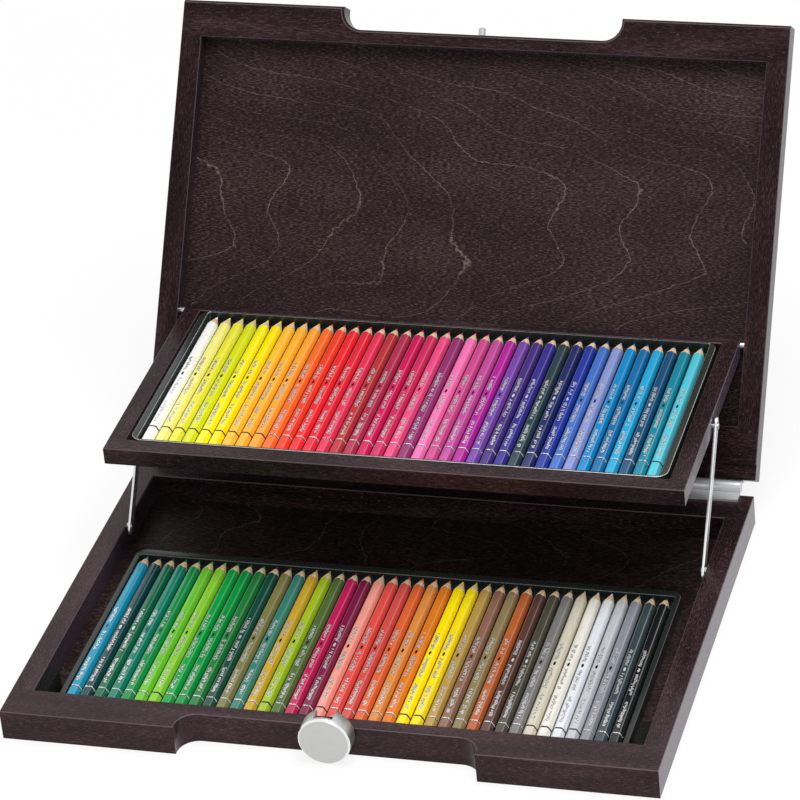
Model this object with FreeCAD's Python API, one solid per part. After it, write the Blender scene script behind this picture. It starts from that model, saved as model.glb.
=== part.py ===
import FreeCAD, Part
import math
import os

os.makedirs("parts", exist_ok=True)

# Folding two-tier case for coloured pencils, standing open as in use. Millimetres.
# Origin: centre of the base's underside. +X right, -Y towards the user, +Z up.

# Coloured pencils: hexagonal, sharpened, one flat down
PENCIL_LENGTH = 161.6
PENCIL_ACROSS_CORNERS = 8.9
PENCIL_GAP = 0.26
PENCIL_CONE_LENGTH = 14.0
LEAD_DIAMETER = 3.2
LEAD_BLUNT_RADIUS = 0.35
WOOD_EDGE_AT_LEAD = 0.15

# Colour family of each pencil, from left to right
UPPER_FAMILIES = (
    "ivory ivory yellow yellow yellow yellow orange orange orange orange orange "
    "red red red red red crimson crimson crimson crimson pink pink pink pink "
    "violet violet violet violet violet blue blue blue blue blue "
    "turquoise turquoise turquoise turquoise").split()
LOWER_FAMILIES = (
    "teal teal teal teal green green green green green dark_green dark_green dark_green "
    "olive olive olive olive plum plum coral coral coral coral gold gold gold gold gold "
    "brown brown brown brown grey grey grey grey grey grey grey black black").split()

# Thermoformed inserts that hold the pencils
INSERT_SKIN = 0.8
INSERT_CORNER_RADIUS = 8.0
POCKET_CORNER_RADIUS = 2.0
CRADLE_WIDTH = 5.0
CRADLE_HEIGHT = 1.6
CRADLE_INSET = 30.0
CRADLE_CLEARANCE = 0.12
UPPER_SIDE_CLEARANCE = 1.29
UPPER_RIM_SIDE = 4.8
UPPER_RIM_FRONT = 1.5
UPPER_RIM_REAR = 1.2
UPPER_RIM_HEIGHT = 8.7
UPPER_BUTT_CLEARANCE = 0.4
UPPER_TIP_CLEARANCE = 0.4
LOWER_SIDE_CLEARANCE = 0.88
LOWER_RIM_SIDE = 3.6
LOWER_RIM_FRONT = 3.6
LOWER_RIM_REAR = 6.4
LOWER_RIM_HEIGHT = 9.6
LOWER_FLOOR_HEIGHT = 4.6
LOWER_BUTT_CLEARANCE = 0.8
LOWER_TIP_CLEARANCE = 1.0

# Lifting tray
TRAY_HEIGHT = 12.0
TRAY_SIDE_RAIL = 11.8
TRAY_FRONT_RAIL = 12.4
TRAY_REAR_RAIL = 7.0
TRAY_REAR_CHAMFER = 4.2
TRAY_FLOOR = 2.2
TRAY_GROOVE_LIFT = 1.5
TRAY_GROOVE_DEPTH = 3.0
INSERT_SIDE_GAP = 2.4
INSERT_FRONT_GAP = 0.2
INSERT_REAR_GAP = 0.5
TRAY_DOWEL_RADIUS = 2.0
TRAY_DOWEL_DEPTH = 5.0

# Case rails, floor and lid panel
LINK_BAY = 3.8
SIDE_RAIL = 14.5
FRONT_RAIL = 25.0
BASE_REAR_RAIL = 28.0
LID_REAR_RAIL = 35.0
BASE_HEIGHT = 21.0
LID_HEIGHT = 16.0
BASE_FLOOR = 3.0
LID_PANEL = 3.2
PANEL_REBATE = 5.0
TRAY_FRONT_SPACE = 7.8
SIDE_CHANNEL = 12.5
NUT_TO_INSERT = 0.3
ARRIS = 0.7
LID_FRONT_BEVEL = 2.0
DOWEL_RADIUS = 3.0
DOWEL_DEPTH = 15.0

# Finger notch in both front rails
NOTCH_HALF_WIDTH = 97.4
NOTCH_DEPTH = 15.5
NOTCH_STRAIGHT = 2.5

# Rear hinge with five long knuckles
HINGE_RADIUS = 4.0
HINGE_PIN_RADIUS = 1.6
HINGE_RISE = 3.5
HINGE_FACE_GAP = 0.5
HINGE_END_INSET = 9.5
HINGE_LEAF = 1.5
HINGE_LEAF_DEPTH = 8.5
HINGE_LEAF_EDGE_GAP = 0.2
LID_LEAF_HEIGHT = 9.5
LEAF_BARREL_CLEARANCE = 0.2
KNUCKLE_GAP = 0.4
KNUCKLE_COUNT = 5
LEAF_RELIEF_DEPTH = 10.5
LEAF_RELIEF_HEIGHT = 1.9
HINGE_SCREW_RADIUS = 1.5
HINGE_SCREW_HEAD_RADIUS = 2.9
HINGE_SCREW_LENGTH = 11.0
HINGE_SCREW_EDGE = 4.2
LID_SCREW_EDGE = 3.2
SCREW_SLOT_WIDTH = 0.8
SCREW_SLOT_DEPTH = 0.6
SCREWS_PER_LEAF = 6
SCREW_END_INSET = 45.0

# Folding motion: lid angle from open to closed, and the arm from hinge to tray pivot
OPEN_ANGLE = 126.3
ARM_LENGTH = 94.0
ARM_CLOSED_ANGLE = 178.04

# Tray pivots and link bars
TRAY_PIVOT_INSET = 3.3
TRAY_PIVOT_DROP = 3.3
TRAY_PIVOT_DEPTH = 3.5
PIVOT_PIN_RADIUS = 1.2
PIVOT_PIN_DEPTH = 8.0
PIVOT_COLLAR_RADIUS = 2.4
PIVOT_COLLAR_GAP = 0.3
RUNNING_CLEARANCE = 0.05
LINK_THICKNESS = 1.5
LINK_WIDTH = 7.0
LINK_TAIL = 2.5
LINK_TO_TRAY = 1.0
LINK_SIDE_PLAY = 0.1
LINK_PIVOT_BEHIND_TRAY_PIVOT = 3.37
LINK_PIVOT_BELOW_RIM = 2.8
UPPER_PIN_RADIUS = 1.0
UPPER_PIN_DEPTH = 6.0
UPPER_PIN_HEAD_RADIUS = 2.2
UPPER_PIN_HEAD = 0.7
LOWER_PIN_HEAD = 0.6

# Foam blocks that the closed tray rests on
STOP_WIDTH = 8.0
STOP_LENGTH = 27.0
STOP_GAP = 0.3

# Turn catch
KNOB_AXIS_BELOW_RIM = 3.5
KNOB_DEPTH = 12.0
KNOB_FACE = 3.6
KNOB_RIM = 3.2
KNOB_HUB_RADIUS = 5.0
KNOB_BEVEL = 1.2
KNOB_SLOT_WIDTH = 12.0
KNOB_TO_RAIL = 1.0
KNOB_GROUND_GAP = 0.5
SPINDLE_RADIUS = 1.6
BUSH_WALL = 0.8
BUSH_FLANGE = 0.8
BUSH_END_PLAY = 0.1
NUT_WALL = 1.5
NUT_LENGTH = 2.2
CATCH_PIN_RADIUS = 2.5
CATCH_PIN_REACH = 5.6
CATCH_PIN_DEPTH = 6.0

# One overrun serves every cut
OVERRUN = 1.0

# Widths worked outwards from the upper pencils
UPPER_COUNT = len(UPPER_FAMILIES)
LOWER_COUNT = len(LOWER_FAMILIES)
PENCIL_RADIUS = PENCIL_ACROSS_CORNERS / 2
PENCIL_APOTHEM = PENCIL_RADIUS * math.cos(math.pi / 6)
UPPER_PITCH = PENCIL_ACROSS_CORNERS + PENCIL_GAP
UPPER_ROW_HALF = UPPER_PITCH * (UPPER_COUNT - 1) / 2
UPPER_POCKET_HALF = UPPER_ROW_HALF + PENCIL_RADIUS + UPPER_SIDE_CLEARANCE
UPPER_INSERT_HALF = UPPER_POCKET_HALF + UPPER_RIM_SIDE
TRAY_INNER_HALF = UPPER_INSERT_HALF + INSERT_SIDE_GAP
TRAY_HALF = TRAY_INNER_HALF + TRAY_SIDE_RAIL
INNER_HALF = TRAY_HALF + LINK_BAY
CASE_HALF = INNER_HALF + SIDE_RAIL
LOWER_INSERT_HALF = INNER_HALF - SIDE_CHANNEL
LOWER_POCKET_HALF = LOWER_INSERT_HALF - LOWER_RIM_SIDE
LOWER_ROW_HALF = LOWER_POCKET_HALF - LOWER_SIDE_CLEARANCE - PENCIL_RADIUS
LOWER_PITCH = LOWER_ROW_HALF * 2 / (LOWER_COUNT - 1)

# Depths worked from the pencil length, the tray and the arm
UPPER_INSERT_LENGTH = (UPPER_RIM_FRONT + UPPER_BUTT_CLEARANCE + PENCIL_LENGTH
                       + UPPER_TIP_CLEARANCE + UPPER_RIM_REAR)
TRAY_LENGTH = (TRAY_FRONT_RAIL + INSERT_FRONT_GAP + UPPER_INSERT_LENGTH + INSERT_REAR_GAP
               + TRAY_REAR_RAIL)
ARM_OPEN = math.radians(ARM_CLOSED_ANGLE - OPEN_ANGLE)
ARM_CLOSED = math.radians(ARM_CLOSED_ANGLE)
HINGE_BEHIND_CASE = HINGE_FACE_GAP + HINGE_RADIUS
CASE_DEPTH = (FRONT_RAIL + TRAY_FRONT_SPACE + TRAY_LENGTH - TRAY_PIVOT_INSET
              - ARM_LENGTH * math.cos(ARM_CLOSED) - HINGE_BEHIND_CASE)
FRONT_Y = -CASE_DEPTH / 2
REAR_Y = CASE_DEPTH / 2
INNER_FRONT_Y = FRONT_Y + FRONT_RAIL
BASE_INNER_REAR_Y = REAR_Y - BASE_REAR_RAIL
LID_INNER_REAR_Y = REAR_Y - LID_REAR_RAIL
NOTCH_Y = FRONT_Y + NOTCH_DEPTH
CASE_TOP_Z = BASE_HEIGHT + LID_HEIGHT

# Pivots in the side view, as (y, z)
HINGE_Y = REAR_Y + HINGE_BEHIND_CASE
HINGE_Z = BASE_HEIGHT + HINGE_RISE
ARM_Y = ARM_LENGTH * math.cos(ARM_OPEN)
ARM_Z = ARM_LENGTH * math.sin(ARM_OPEN)
TRAY_PIVOT_Y = HINGE_Y + ARM_Y
TRAY_PIVOT_Z = HINGE_Z + ARM_Z
CLOSED_PIVOT_Y = HINGE_Y + ARM_LENGTH * math.cos(ARM_CLOSED)
CLOSED_PIVOT_Z = HINGE_Z + ARM_LENGTH * math.sin(ARM_CLOSED)
LINK_FOOT_Y = CLOSED_PIVOT_Y + LINK_PIVOT_BEHIND_TRAY_PIVOT
LINK_FOOT_Z = BASE_HEIGHT - LINK_PIVOT_BELOW_RIM
LINK_HEAD_Y = LINK_FOOT_Y + ARM_Y
LINK_HEAD_Z = LINK_FOOT_Z + ARM_Z

# Tray as it stands open
TRAY_REAR_Y = TRAY_PIVOT_Y + TRAY_PIVOT_INSET
TRAY_FRONT_Y = TRAY_REAR_Y - TRAY_LENGTH
TRAY_TOP_Z = TRAY_PIVOT_Z + TRAY_PIVOT_DROP
TRAY_BOTTOM_Z = TRAY_TOP_Z - TRAY_HEIGHT
TRAY_INNER_FRONT_Y = TRAY_FRONT_Y + TRAY_FRONT_RAIL
TRAY_INNER_REAR_Y = TRAY_REAR_Y - TRAY_REAR_RAIL
TRAY_FLOOR_Z = TRAY_BOTTOM_Z + TRAY_GROOVE_LIFT
TRAY_FLOOR_TOP_Z = TRAY_FLOOR_Z + TRAY_FLOOR
CLOSED_TRAY_BOTTOM_Z = CLOSED_PIVOT_Z + TRAY_PIVOT_DROP - TRAY_HEIGHT

# Link bars stand in the bay between tray and case walls
LINK_INNER_X = TRAY_HALF + LINK_TO_TRAY
LINK_OUTER_X = LINK_INNER_X + LINK_THICKNESS

# Turn catch in the notch
KNOB_Z = BASE_HEIGHT - KNOB_AXIS_BELOW_RIM
KNOB_RADIUS = KNOB_Z - KNOB_GROUND_GAP
KNOB_REAR_Y = NOTCH_Y - KNOB_TO_RAIL
KNOB_FRONT_Y = KNOB_REAR_Y - KNOB_DEPTH
KNOB_CAVITY_RADIUS = KNOB_RADIUS - KNOB_RIM
BUSH_RADIUS = SPINDLE_RADIUS + RUNNING_CLEARANCE + BUSH_WALL
NUT_FRONT_Y = INNER_FRONT_Y + BUSH_END_PLAY
NUT_REAR_Y = NUT_FRONT_Y + NUT_LENGTH
CATCH_PIN_Z = KNOB_Z + (KNOB_HUB_RADIUS + KNOB_CAVITY_RADIUS) / 2

# Hinge knuckles
HINGE_HALF = CASE_HALF - HINGE_END_INSET
KNUCKLE_LENGTH = (HINGE_HALF * 2 - KNUCKLE_GAP * (KNUCKLE_COUNT - 1)) / KNUCKLE_COUNT

V = FreeCAD.Vector
X_AXIS = V(1, 0, 0)
Y_AXIS = V(0, 1, 0)


def block(x0, x1, y0, y1, z0, z1):
    """Box between two corners."""
    return Part.makeBox(x1 - x0, y1 - y0, z1 - z0, V(x0, y0, z0))


def rod_x(x0, x1, y, z, radius):
    """Round bar along X."""
    return Part.makeCylinder(radius, x1 - x0, V(x0, y, z), X_AXIS)


def rod_y(y0, y1, x, z, radius):
    """Round bar along Y."""
    return Part.makeCylinder(radius, y1 - y0, V(x, y0, z), Y_AXIS)


def rounded_block(half_x, y0, y1, z0, z1, radius):
    """Box centred on x = 0 with its upright corners rounded."""
    shape = block(-half_x, half_x, y0, y1, z0, z1)
    upright = [e for e in shape.Edges if is_upright(e)]
    return shape.makeFillet(radius, upright)


def is_upright(edge):
    """True for a straight edge along Z."""
    if not isinstance(edge.Curve, Part.Line):
        return False
    box = edge.BoundBox
    return box.ZLength > RUNNING_CLEARANCE > box.XLength + box.YLength


def lies_at(edge, axis, value):
    """True where a whole edge has one coordinate at the given value."""
    box = edge.BoundBox
    low = (box.XMin, box.YMin, box.ZMin)[axis]
    high = (box.XMax, box.YMax, box.ZMax)[axis]
    near = RUNNING_CLEARANCE
    return abs(low - value) < near and abs(high - value) < near


def mirrored(shape):
    """The same piece on the left side."""
    return shape.mirror(V(0, 0, 0), X_AXIS)


def on_both_sides(shape):
    """Right and left copies of one piece."""
    return [shape, mirrored(shape)]


def cut_all(shape, tools):
    """Shape less every tool."""
    return shape.cut(tools) if tools else shape


def opened(shape):
    """A piece of the lid, swung from closed to the open stop."""
    turned = shape.copy()
    turned.rotate(V(0, HINGE_Y, HINGE_Z), X_AXIS, -OPEN_ANGLE)
    return turned


def write(node, solids):
    """One STEP file per node; several like solids share a file."""
    shape = solids[0] if len(solids) == 1 else Part.makeCompound(solids)
    for solid in solids:
        if not solid.isValid() or len(solid.Solids) != 1:
            print("check", node, solid.isValid(), len(solid.Solids))
    shape.exportStep("parts/%s.step" % node)


# Rails of the base and the lid

def finger_notch(z0, z1):
    """Long finger notch in a front rail, with quarter-round ends."""
    corner = NOTCH_DEPTH - NOTCH_STRAIGHT
    outside = FRONT_Y - OVERRUN
    bend_y = NOTCH_Y - corner
    bend_x = NOTCH_HALF_WIDTH - corner
    diagonal = corner * math.sqrt(0.5)
    left_out = V(-NOTCH_HALF_WIDTH, outside, z0)
    left_bend = V(-NOTCH_HALF_WIDTH, bend_y, z0)
    left_arc = V(-bend_x - diagonal, bend_y + diagonal, z0)
    left_in = V(-bend_x, NOTCH_Y, z0)
    right_in = V(bend_x, NOTCH_Y, z0)
    right_arc = V(bend_x + diagonal, bend_y + diagonal, z0)
    right_bend = V(NOTCH_HALF_WIDTH, bend_y, z0)
    right_out = V(NOTCH_HALF_WIDTH, outside, z0)
    edges = [Part.LineSegment(left_out, left_bend).toShape(),
             Part.Arc(left_bend, left_arc, left_in).toShape(),
             Part.LineSegment(left_in, right_in).toShape(),
             Part.Arc(right_in, right_arc, right_bend).toShape(),
             Part.LineSegment(right_bend, right_out).toShape(),
             Part.LineSegment(right_out, left_out).toShape()]
    return Part.Face(Part.Wire(edges)).extrude(V(0, 0, z1 - z0))


def notched_frame(z0, z1, inner_rear_y, rim_z, front_bevel):
    """Frame of four rails in one, with the notch; rim_z is the face that meets the other half."""
    outer = block(-CASE_HALF, CASE_HALF, FRONT_Y, REAR_Y, z0, z1)
    inner = block(-INNER_HALF, INNER_HALF, INNER_FRONT_Y, inner_rear_y, z0 - OVERRUN, z1 + OVERRUN)
    frame = outer.cut([inner, finger_notch(z0 - OVERRUN, z1 + OVERRUN)])
    bevelled = [e for e in frame.Edges if front_bevel and is_front_rim(e, rim_z)]
    if bevelled:
        frame = frame.makeChamfer(front_bevel, bevelled)
    eased = [e for e in frame.Edges if is_eased(e, rim_z, front_bevel)]
    return frame.makeFillet(ARRIS, eased)


def is_front_rim(edge, rim_z):
    """Front contour of the rim, notch and all."""
    return lies_at(edge, 2, rim_z) and edge.BoundBox.YMax < NOTCH_Y + ARRIS


def is_eased(edge, rim_z, front_bevel):
    """Edges with a small arris: the rim's, and the upright ones at the outer corners."""
    if lies_at(edge, 2, rim_z):
        return not (front_bevel and edge.BoundBox.YMax < INNER_FRONT_Y - ARRIS)
    at_side = lies_at(edge, 0, CASE_HALF) or lies_at(edge, 0, -CASE_HALF)
    at_rear = lies_at(edge, 1, REAR_Y)
    return is_upright(edge) and at_side and at_rear


def split_rails(frame, z0, z1, inner_rear_y):
    """Front and rear rails run the full width, side rails butt between them."""
    wide = CASE_HALF + OVERRUN
    front = frame.common(block(-wide, wide, FRONT_Y - OVERRUN, INNER_FRONT_Y, z0, z1))
    rear = frame.common(block(-wide, wide, inner_rear_y, REAR_Y + OVERRUN, z0, z1))
    left = frame.common(block(-wide, 0, INNER_FRONT_Y, inner_rear_y, z0, z1))
    right = frame.common(block(0, wide, INNER_FRONT_Y, inner_rear_y, z0, z1))
    return front, rear, left, right


def corner_dowels(half_x, front_y, rear_y, z, radius, depth, rear_depth):
    """Four dowels along Y across the butt joints."""
    front = rod_y(front_y - depth, front_y + depth, half_x, z, radius)
    rear = rod_y(rear_y - depth, rear_y + rear_depth, half_x, z, radius)
    return on_both_sides(front) + on_both_sides(rear)


def panel(z0, z1, inner_rear_y):
    """Thin board let into a rebate round the inside of a frame."""
    half = INNER_HALF + PANEL_REBATE
    return block(-half, half, INNER_FRONT_Y - PANEL_REBATE, inner_rear_y + PANEL_REBATE, z0, z1)


def build_base():
    """Base rails, floor, dowels and stop blocks."""
    frame = notched_frame(0, BASE_HEIGHT, BASE_INNER_REAR_Y, BASE_HEIGHT, 0)
    front, rear, left, right = split_rails(frame, 0, BASE_HEIGHT, BASE_INNER_REAR_Y)
    floor = panel(0, BASE_FLOOR, BASE_INNER_REAR_Y)
    dowels = corner_dowels(CASE_HALF - SIDE_RAIL / 2, INNER_FRONT_Y, BASE_INNER_REAR_Y,
                           BASE_HEIGHT / 2, DOWEL_RADIUS, DOWEL_DEPTH, DOWEL_DEPTH)
    bush = rod_y(NOTCH_Y - OVERRUN, INNER_FRONT_Y + OVERRUN, 0, KNOB_Z, BUSH_RADIUS)
    pins = link_lower_pins()
    screws = base_hinge_screws()
    write("base_front_rail", [cut_all(front, [floor, bush] + dowels)])
    write("base_rear_rail", [cut_all(rear, [floor] + dowels + screws)])
    write("base_left_rail", [cut_all(left, [floor, pins[1]] + dowels)])
    write("base_right_rail", [cut_all(right, [floor, pins[0]] + dowels)])
    write("base_floor", [floor])
    write("base_dowels", dowels)
    write("link_lower_pins", pins)
    write("base_hinge_screws", screws)
    stop = block(INNER_HALF - STOP_WIDTH, INNER_HALF, INNER_FRONT_Y, INNER_FRONT_Y + STOP_LENGTH,
                 BASE_FLOOR, CLOSED_TRAY_BOTTOM_Z - STOP_GAP)
    write("stop_blocks", on_both_sides(stop))


def build_lid():
    """Lid rails, panel and dowels, made closed and then swung open."""
    frame = notched_frame(BASE_HEIGHT, CASE_TOP_Z, LID_INNER_REAR_Y, BASE_HEIGHT, LID_FRONT_BEVEL)
    front, rear, left, right = split_rails(frame, BASE_HEIGHT, CASE_TOP_Z, LID_INNER_REAR_Y)
    board = panel(CASE_TOP_Z - LID_PANEL, CASE_TOP_Z, LID_INNER_REAR_Y)
    dowel_z = BASE_HEIGHT + (LID_HEIGHT - LID_PANEL) / 2
    dowels = corner_dowels(CASE_HALF - SIDE_RAIL / 2, INNER_FRONT_Y, LID_INNER_REAR_Y,
                           dowel_z, DOWEL_RADIUS, DOWEL_DEPTH, DOWEL_DEPTH)
    wide = CASE_HALF + OVERRUN
    relief = block(-wide, wide, REAR_Y - LEAF_RELIEF_DEPTH, REAR_Y + OVERRUN,
                   BASE_HEIGHT - OVERRUN, BASE_HEIGHT + LEAF_RELIEF_HEIGHT)
    pin = rod_y(NOTCH_Y - CATCH_PIN_REACH, NOTCH_Y + CATCH_PIN_DEPTH, 0, CATCH_PIN_Z,
                CATCH_PIN_RADIUS)
    pin = pin.makeChamfer(ARRIS, [e for e in pin.Edges if lies_at(e, 1, pin.BoundBox.YMin)])
    bore_x = INNER_HALF + PIVOT_PIN_DEPTH
    bore = rod_x(INNER_HALF - OVERRUN, bore_x, CLOSED_PIVOT_Y, CLOSED_PIVOT_Z, PIVOT_PIN_RADIUS)
    screws = lid_hinge_screws()
    write("lid_front_rail", [opened(cut_all(front, [board, pin] + dowels))])
    write("lid_rear_rail", [opened(cut_all(rear, [board, relief] + dowels + screws))])
    write("lid_left_rail", [opened(cut_all(left, [board, mirrored(bore)] + dowels))])
    write("lid_right_rail", [opened(cut_all(right, [board, bore] + dowels))])
    write("lid_panel", [opened(board)])
    write("lid_dowels", [opened(dowel) for dowel in dowels])
    write("lid_hinge_screws", [opened(screw) for screw in screws])
    write("catch_pin", [opened(pin)])


# Hinge

def screw(point, turn):
    """Countersunk slotted screw whose head is flush at a point, driven down or turned about X."""
    head = Part.makeCone(HINGE_SCREW_RADIUS, HINGE_SCREW_HEAD_RADIUS, HINGE_LEAF,
                         V(0, 0, -HINGE_LEAF))
    shank = Part.makeCylinder(HINGE_SCREW_RADIUS, HINGE_SCREW_LENGTH - HINGE_LEAF,
                              V(0, 0, -HINGE_SCREW_LENGTH))
    body = head.fuse(shank).removeSplitter()
    body.rotate(V(0, 0, 0), X_AXIS, turn)
    body.translate(point)
    return body


def slotted(body, point, turn):
    """The same screw with its driver slot."""
    reach = HINGE_SCREW_HEAD_RADIUS + OVERRUN
    half = SCREW_SLOT_WIDTH / 2
    slot = block(-reach, reach, -half, half, -SCREW_SLOT_DEPTH, OVERRUN)
    slot.rotate(V(0, 0, 0), X_AXIS, turn)
    slot.translate(point)
    return body.cut(slot)


def screw_places():
    """Screw positions along the hinge."""
    span = (HINGE_HALF - SCREW_END_INSET) * 2
    step = span / (SCREWS_PER_LEAF - 1)
    return [step * i - span / 2 for i in range(SCREWS_PER_LEAF)]


def base_screw_points():
    """Heads on top of the base leaf."""
    y = REAR_Y - HINGE_LEAF_DEPTH + HINGE_SCREW_EDGE
    return [V(x, y, BASE_HEIGHT + HINGE_LEAF) for x in screw_places()]


def lid_screw_points():
    """Heads on the rear face of the lid leaf."""
    z = HINGE_Z + LID_LEAF_HEIGHT - LID_SCREW_EDGE
    return [V(x, REAR_Y + HINGE_LEAF, z) for x in screw_places()]


def base_hinge_screws():
    """Screws of the base leaf, plain for cutting and slotted for keeping."""
    return [slotted(screw(p, 0), p, 0) for p in base_screw_points()]


def lid_hinge_screws():
    """Screws of the lid leaf."""
    return [slotted(screw(p, -90), p, -90) for p in lid_screw_points()]


def knuckle_spans():
    """Start and end of each knuckle along X."""
    step = KNUCKLE_LENGTH + KNUCKLE_GAP
    return [(step * i - HINGE_HALF, step * i - HINGE_HALF + KNUCKLE_LENGTH)
            for i in range(KNUCKLE_COUNT)]


def build_hinge():
    """Base leaf on top of the rear rail, lid leaf on the lid's rear face, and the pin."""
    spans = knuckle_spans()
    base_spans = spans[0::2]
    lid_spans = spans[1::2]
    leaf_top = BASE_HEIGHT + HINGE_LEAF
    base_leaf = block(-HINGE_HALF, HINGE_HALF, REAR_Y - HINGE_LEAF_DEPTH,
                      REAR_Y + HINGE_LEAF_EDGE_GAP, BASE_HEIGHT, leaf_top)
    for x0, x1 in base_spans:
        tab = block(x0, x1, REAR_Y, HINGE_Y, BASE_HEIGHT, leaf_top)
        base_leaf = base_leaf.fuse([tab, rod_x(x0, x1, HINGE_Y, HINGE_Z, HINGE_RADIUS)])
    holes = [screw(p, 0) for p in base_screw_points()]
    pin_hole = rod_x(-HINGE_HALF - OVERRUN, HINGE_HALF + OVERRUN, HINGE_Y, HINGE_Z,
                     HINGE_PIN_RADIUS)
    base_leaf = base_leaf.cut([pin_hole] + holes).removeSplitter()
    leaf_bottom = HINGE_Z + HINGE_RADIUS + LEAF_BARREL_CLEARANCE
    lid_leaf = block(-HINGE_HALF, HINGE_HALF, REAR_Y, REAR_Y + HINGE_LEAF, leaf_bottom,
                     HINGE_Z + LID_LEAF_HEIGHT)
    for x0, x1 in lid_spans:
        tab = block(x0, x1, REAR_Y, REAR_Y + HINGE_LEAF, HINGE_Z, leaf_bottom)
        lid_leaf = lid_leaf.fuse([tab, rod_x(x0, x1, HINGE_Y, HINGE_Z, HINGE_RADIUS)])
    holes = [screw(p, -90) for p in lid_screw_points()]
    running_hole = rod_x(-HINGE_HALF - OVERRUN, HINGE_HALF + OVERRUN, HINGE_Y, HINGE_Z,
                         HINGE_PIN_RADIUS + RUNNING_CLEARANCE)
    lid_leaf = lid_leaf.cut([running_hole] + holes).removeSplitter()
    write("base_hinge_leaf", [base_leaf])
    write("lid_hinge_leaf", [opened(lid_leaf)])
    write("hinge_pin", [rod_x(-HINGE_HALF, HINGE_HALF, HINGE_Y, HINGE_Z, HINGE_PIN_RADIUS)])


# Tray, its pivots and the links

def build_tray():
    """Tray rails with a floor in grooves, standing open over the rear of the base."""
    outer = block(-TRAY_HALF, TRAY_HALF, TRAY_FRONT_Y, TRAY_REAR_Y, TRAY_BOTTOM_Z, TRAY_TOP_Z)
    inner = block(-TRAY_INNER_HALF, TRAY_INNER_HALF, TRAY_INNER_FRONT_Y, TRAY_INNER_REAR_Y,
                  TRAY_BOTTOM_Z - OVERRUN, TRAY_TOP_Z + OVERRUN)
    frame = outer.cut(inner)
    low_rear = [e for e in frame.Edges
                if lies_at(e, 2, TRAY_BOTTOM_Z) and lies_at(e, 1, TRAY_REAR_Y)]
    frame = frame.makeChamfer(TRAY_REAR_CHAMFER, low_rear)
    frame = frame.makeFillet(ARRIS, [e for e in frame.Edges if lies_at(e, 2, TRAY_TOP_Z)])
    half = TRAY_INNER_HALF + TRAY_GROOVE_DEPTH
    floor = block(-half, half, TRAY_INNER_FRONT_Y - TRAY_GROOVE_DEPTH,
                  TRAY_INNER_REAR_Y + TRAY_GROOVE_DEPTH, TRAY_FLOOR_Z, TRAY_FLOOR_TOP_Z)
    dowel_z = (TRAY_FLOOR_TOP_Z + TRAY_TOP_Z) / 2
    dowels = corner_dowels(TRAY_HALF - TRAY_SIDE_RAIL / 2, TRAY_INNER_FRONT_Y, TRAY_INNER_REAR_Y,
                           dowel_z, TRAY_DOWEL_RADIUS, TRAY_DOWEL_DEPTH,
                           TRAY_REAR_RAIL - TRAY_DOWEL_RADIUS)
    bore = rod_x(TRAY_HALF - TRAY_PIVOT_DEPTH, TRAY_HALF + OVERRUN, TRAY_PIVOT_Y, TRAY_PIVOT_Z,
                 PIVOT_PIN_RADIUS + RUNNING_CLEARANCE)
    bores = on_both_sides(bore)
    pins = link_upper_pins()
    wide = TRAY_HALF + OVERRUN
    bottom, top = TRAY_BOTTOM_Z, TRAY_TOP_Z
    front = frame.common(block(-wide, wide, TRAY_FRONT_Y, TRAY_INNER_FRONT_Y, bottom, top))
    rear = frame.common(block(-wide, wide, TRAY_INNER_REAR_Y, TRAY_REAR_Y, bottom, top))
    left = frame.common(block(-wide, 0, TRAY_INNER_FRONT_Y, TRAY_INNER_REAR_Y, bottom, top))
    right = frame.common(block(0, wide, TRAY_INNER_FRONT_Y, TRAY_INNER_REAR_Y, bottom, top))
    write("tray_front_rail", [cut_all(front, [floor] + dowels)])
    write("tray_rear_rail", [cut_all(rear, [floor] + dowels + bores)])
    write("tray_left_rail", [cut_all(left, [floor, pins[1]] + dowels)])
    write("tray_right_rail", [cut_all(right, [floor, pins[0]] + dowels)])
    write("tray_floor", [floor])
    write("tray_dowels", dowels)
    write("link_upper_pins", pins)
    write("tray_pivot_pins", tray_pivot_pins())


def tray_pivot_pins():
    """Pins fixed in the lid's side rails; the tray swings on them."""
    x_in = TRAY_HALF - TRAY_PIVOT_DEPTH + RUNNING_CLEARANCE
    shank = rod_x(x_in, INNER_HALF + PIVOT_PIN_DEPTH, TRAY_PIVOT_Y, TRAY_PIVOT_Z,
                  PIVOT_PIN_RADIUS)
    collar = rod_x(TRAY_HALF + PIVOT_COLLAR_GAP, INNER_HALF, TRAY_PIVOT_Y, TRAY_PIVOT_Z,
                   PIVOT_COLLAR_RADIUS)
    return on_both_sides(shank.fuse(collar))


def link_upper_pins():
    """Rivets fixed in the tray's side rails, with a collar, a journal and a thin head."""
    y, z = LINK_HEAD_Y, LINK_HEAD_Z
    inner = LINK_INNER_X - LINK_SIDE_PLAY
    outer = LINK_OUTER_X + LINK_SIDE_PLAY
    shank = rod_x(TRAY_HALF - UPPER_PIN_DEPTH, outer, y, z, UPPER_PIN_RADIUS)
    collar = rod_x(TRAY_HALF, inner, y, z, UPPER_PIN_HEAD_RADIUS)
    head = rod_x(outer, outer + UPPER_PIN_HEAD, y, z, UPPER_PIN_HEAD_RADIUS)
    return on_both_sides(shank.fuse([collar, head]))


def link_lower_pins():
    """Rivets fixed in the base's side rails, with a collar, a journal and a thin head."""
    y, z = LINK_FOOT_Y, LINK_FOOT_Z
    inner = LINK_INNER_X - LINK_SIDE_PLAY
    outer = LINK_OUTER_X + LINK_SIDE_PLAY
    shank = rod_x(inner, INNER_HALF + PIVOT_PIN_DEPTH, y, z, PIVOT_PIN_RADIUS)
    collar = rod_x(outer, INNER_HALF, y, z, PIVOT_COLLAR_RADIUS)
    head = rod_x(inner - LOWER_PIN_HEAD, inner, y, z, PIVOT_COLLAR_RADIUS)
    return on_both_sides(shank.fuse([collar, head]))


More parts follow.
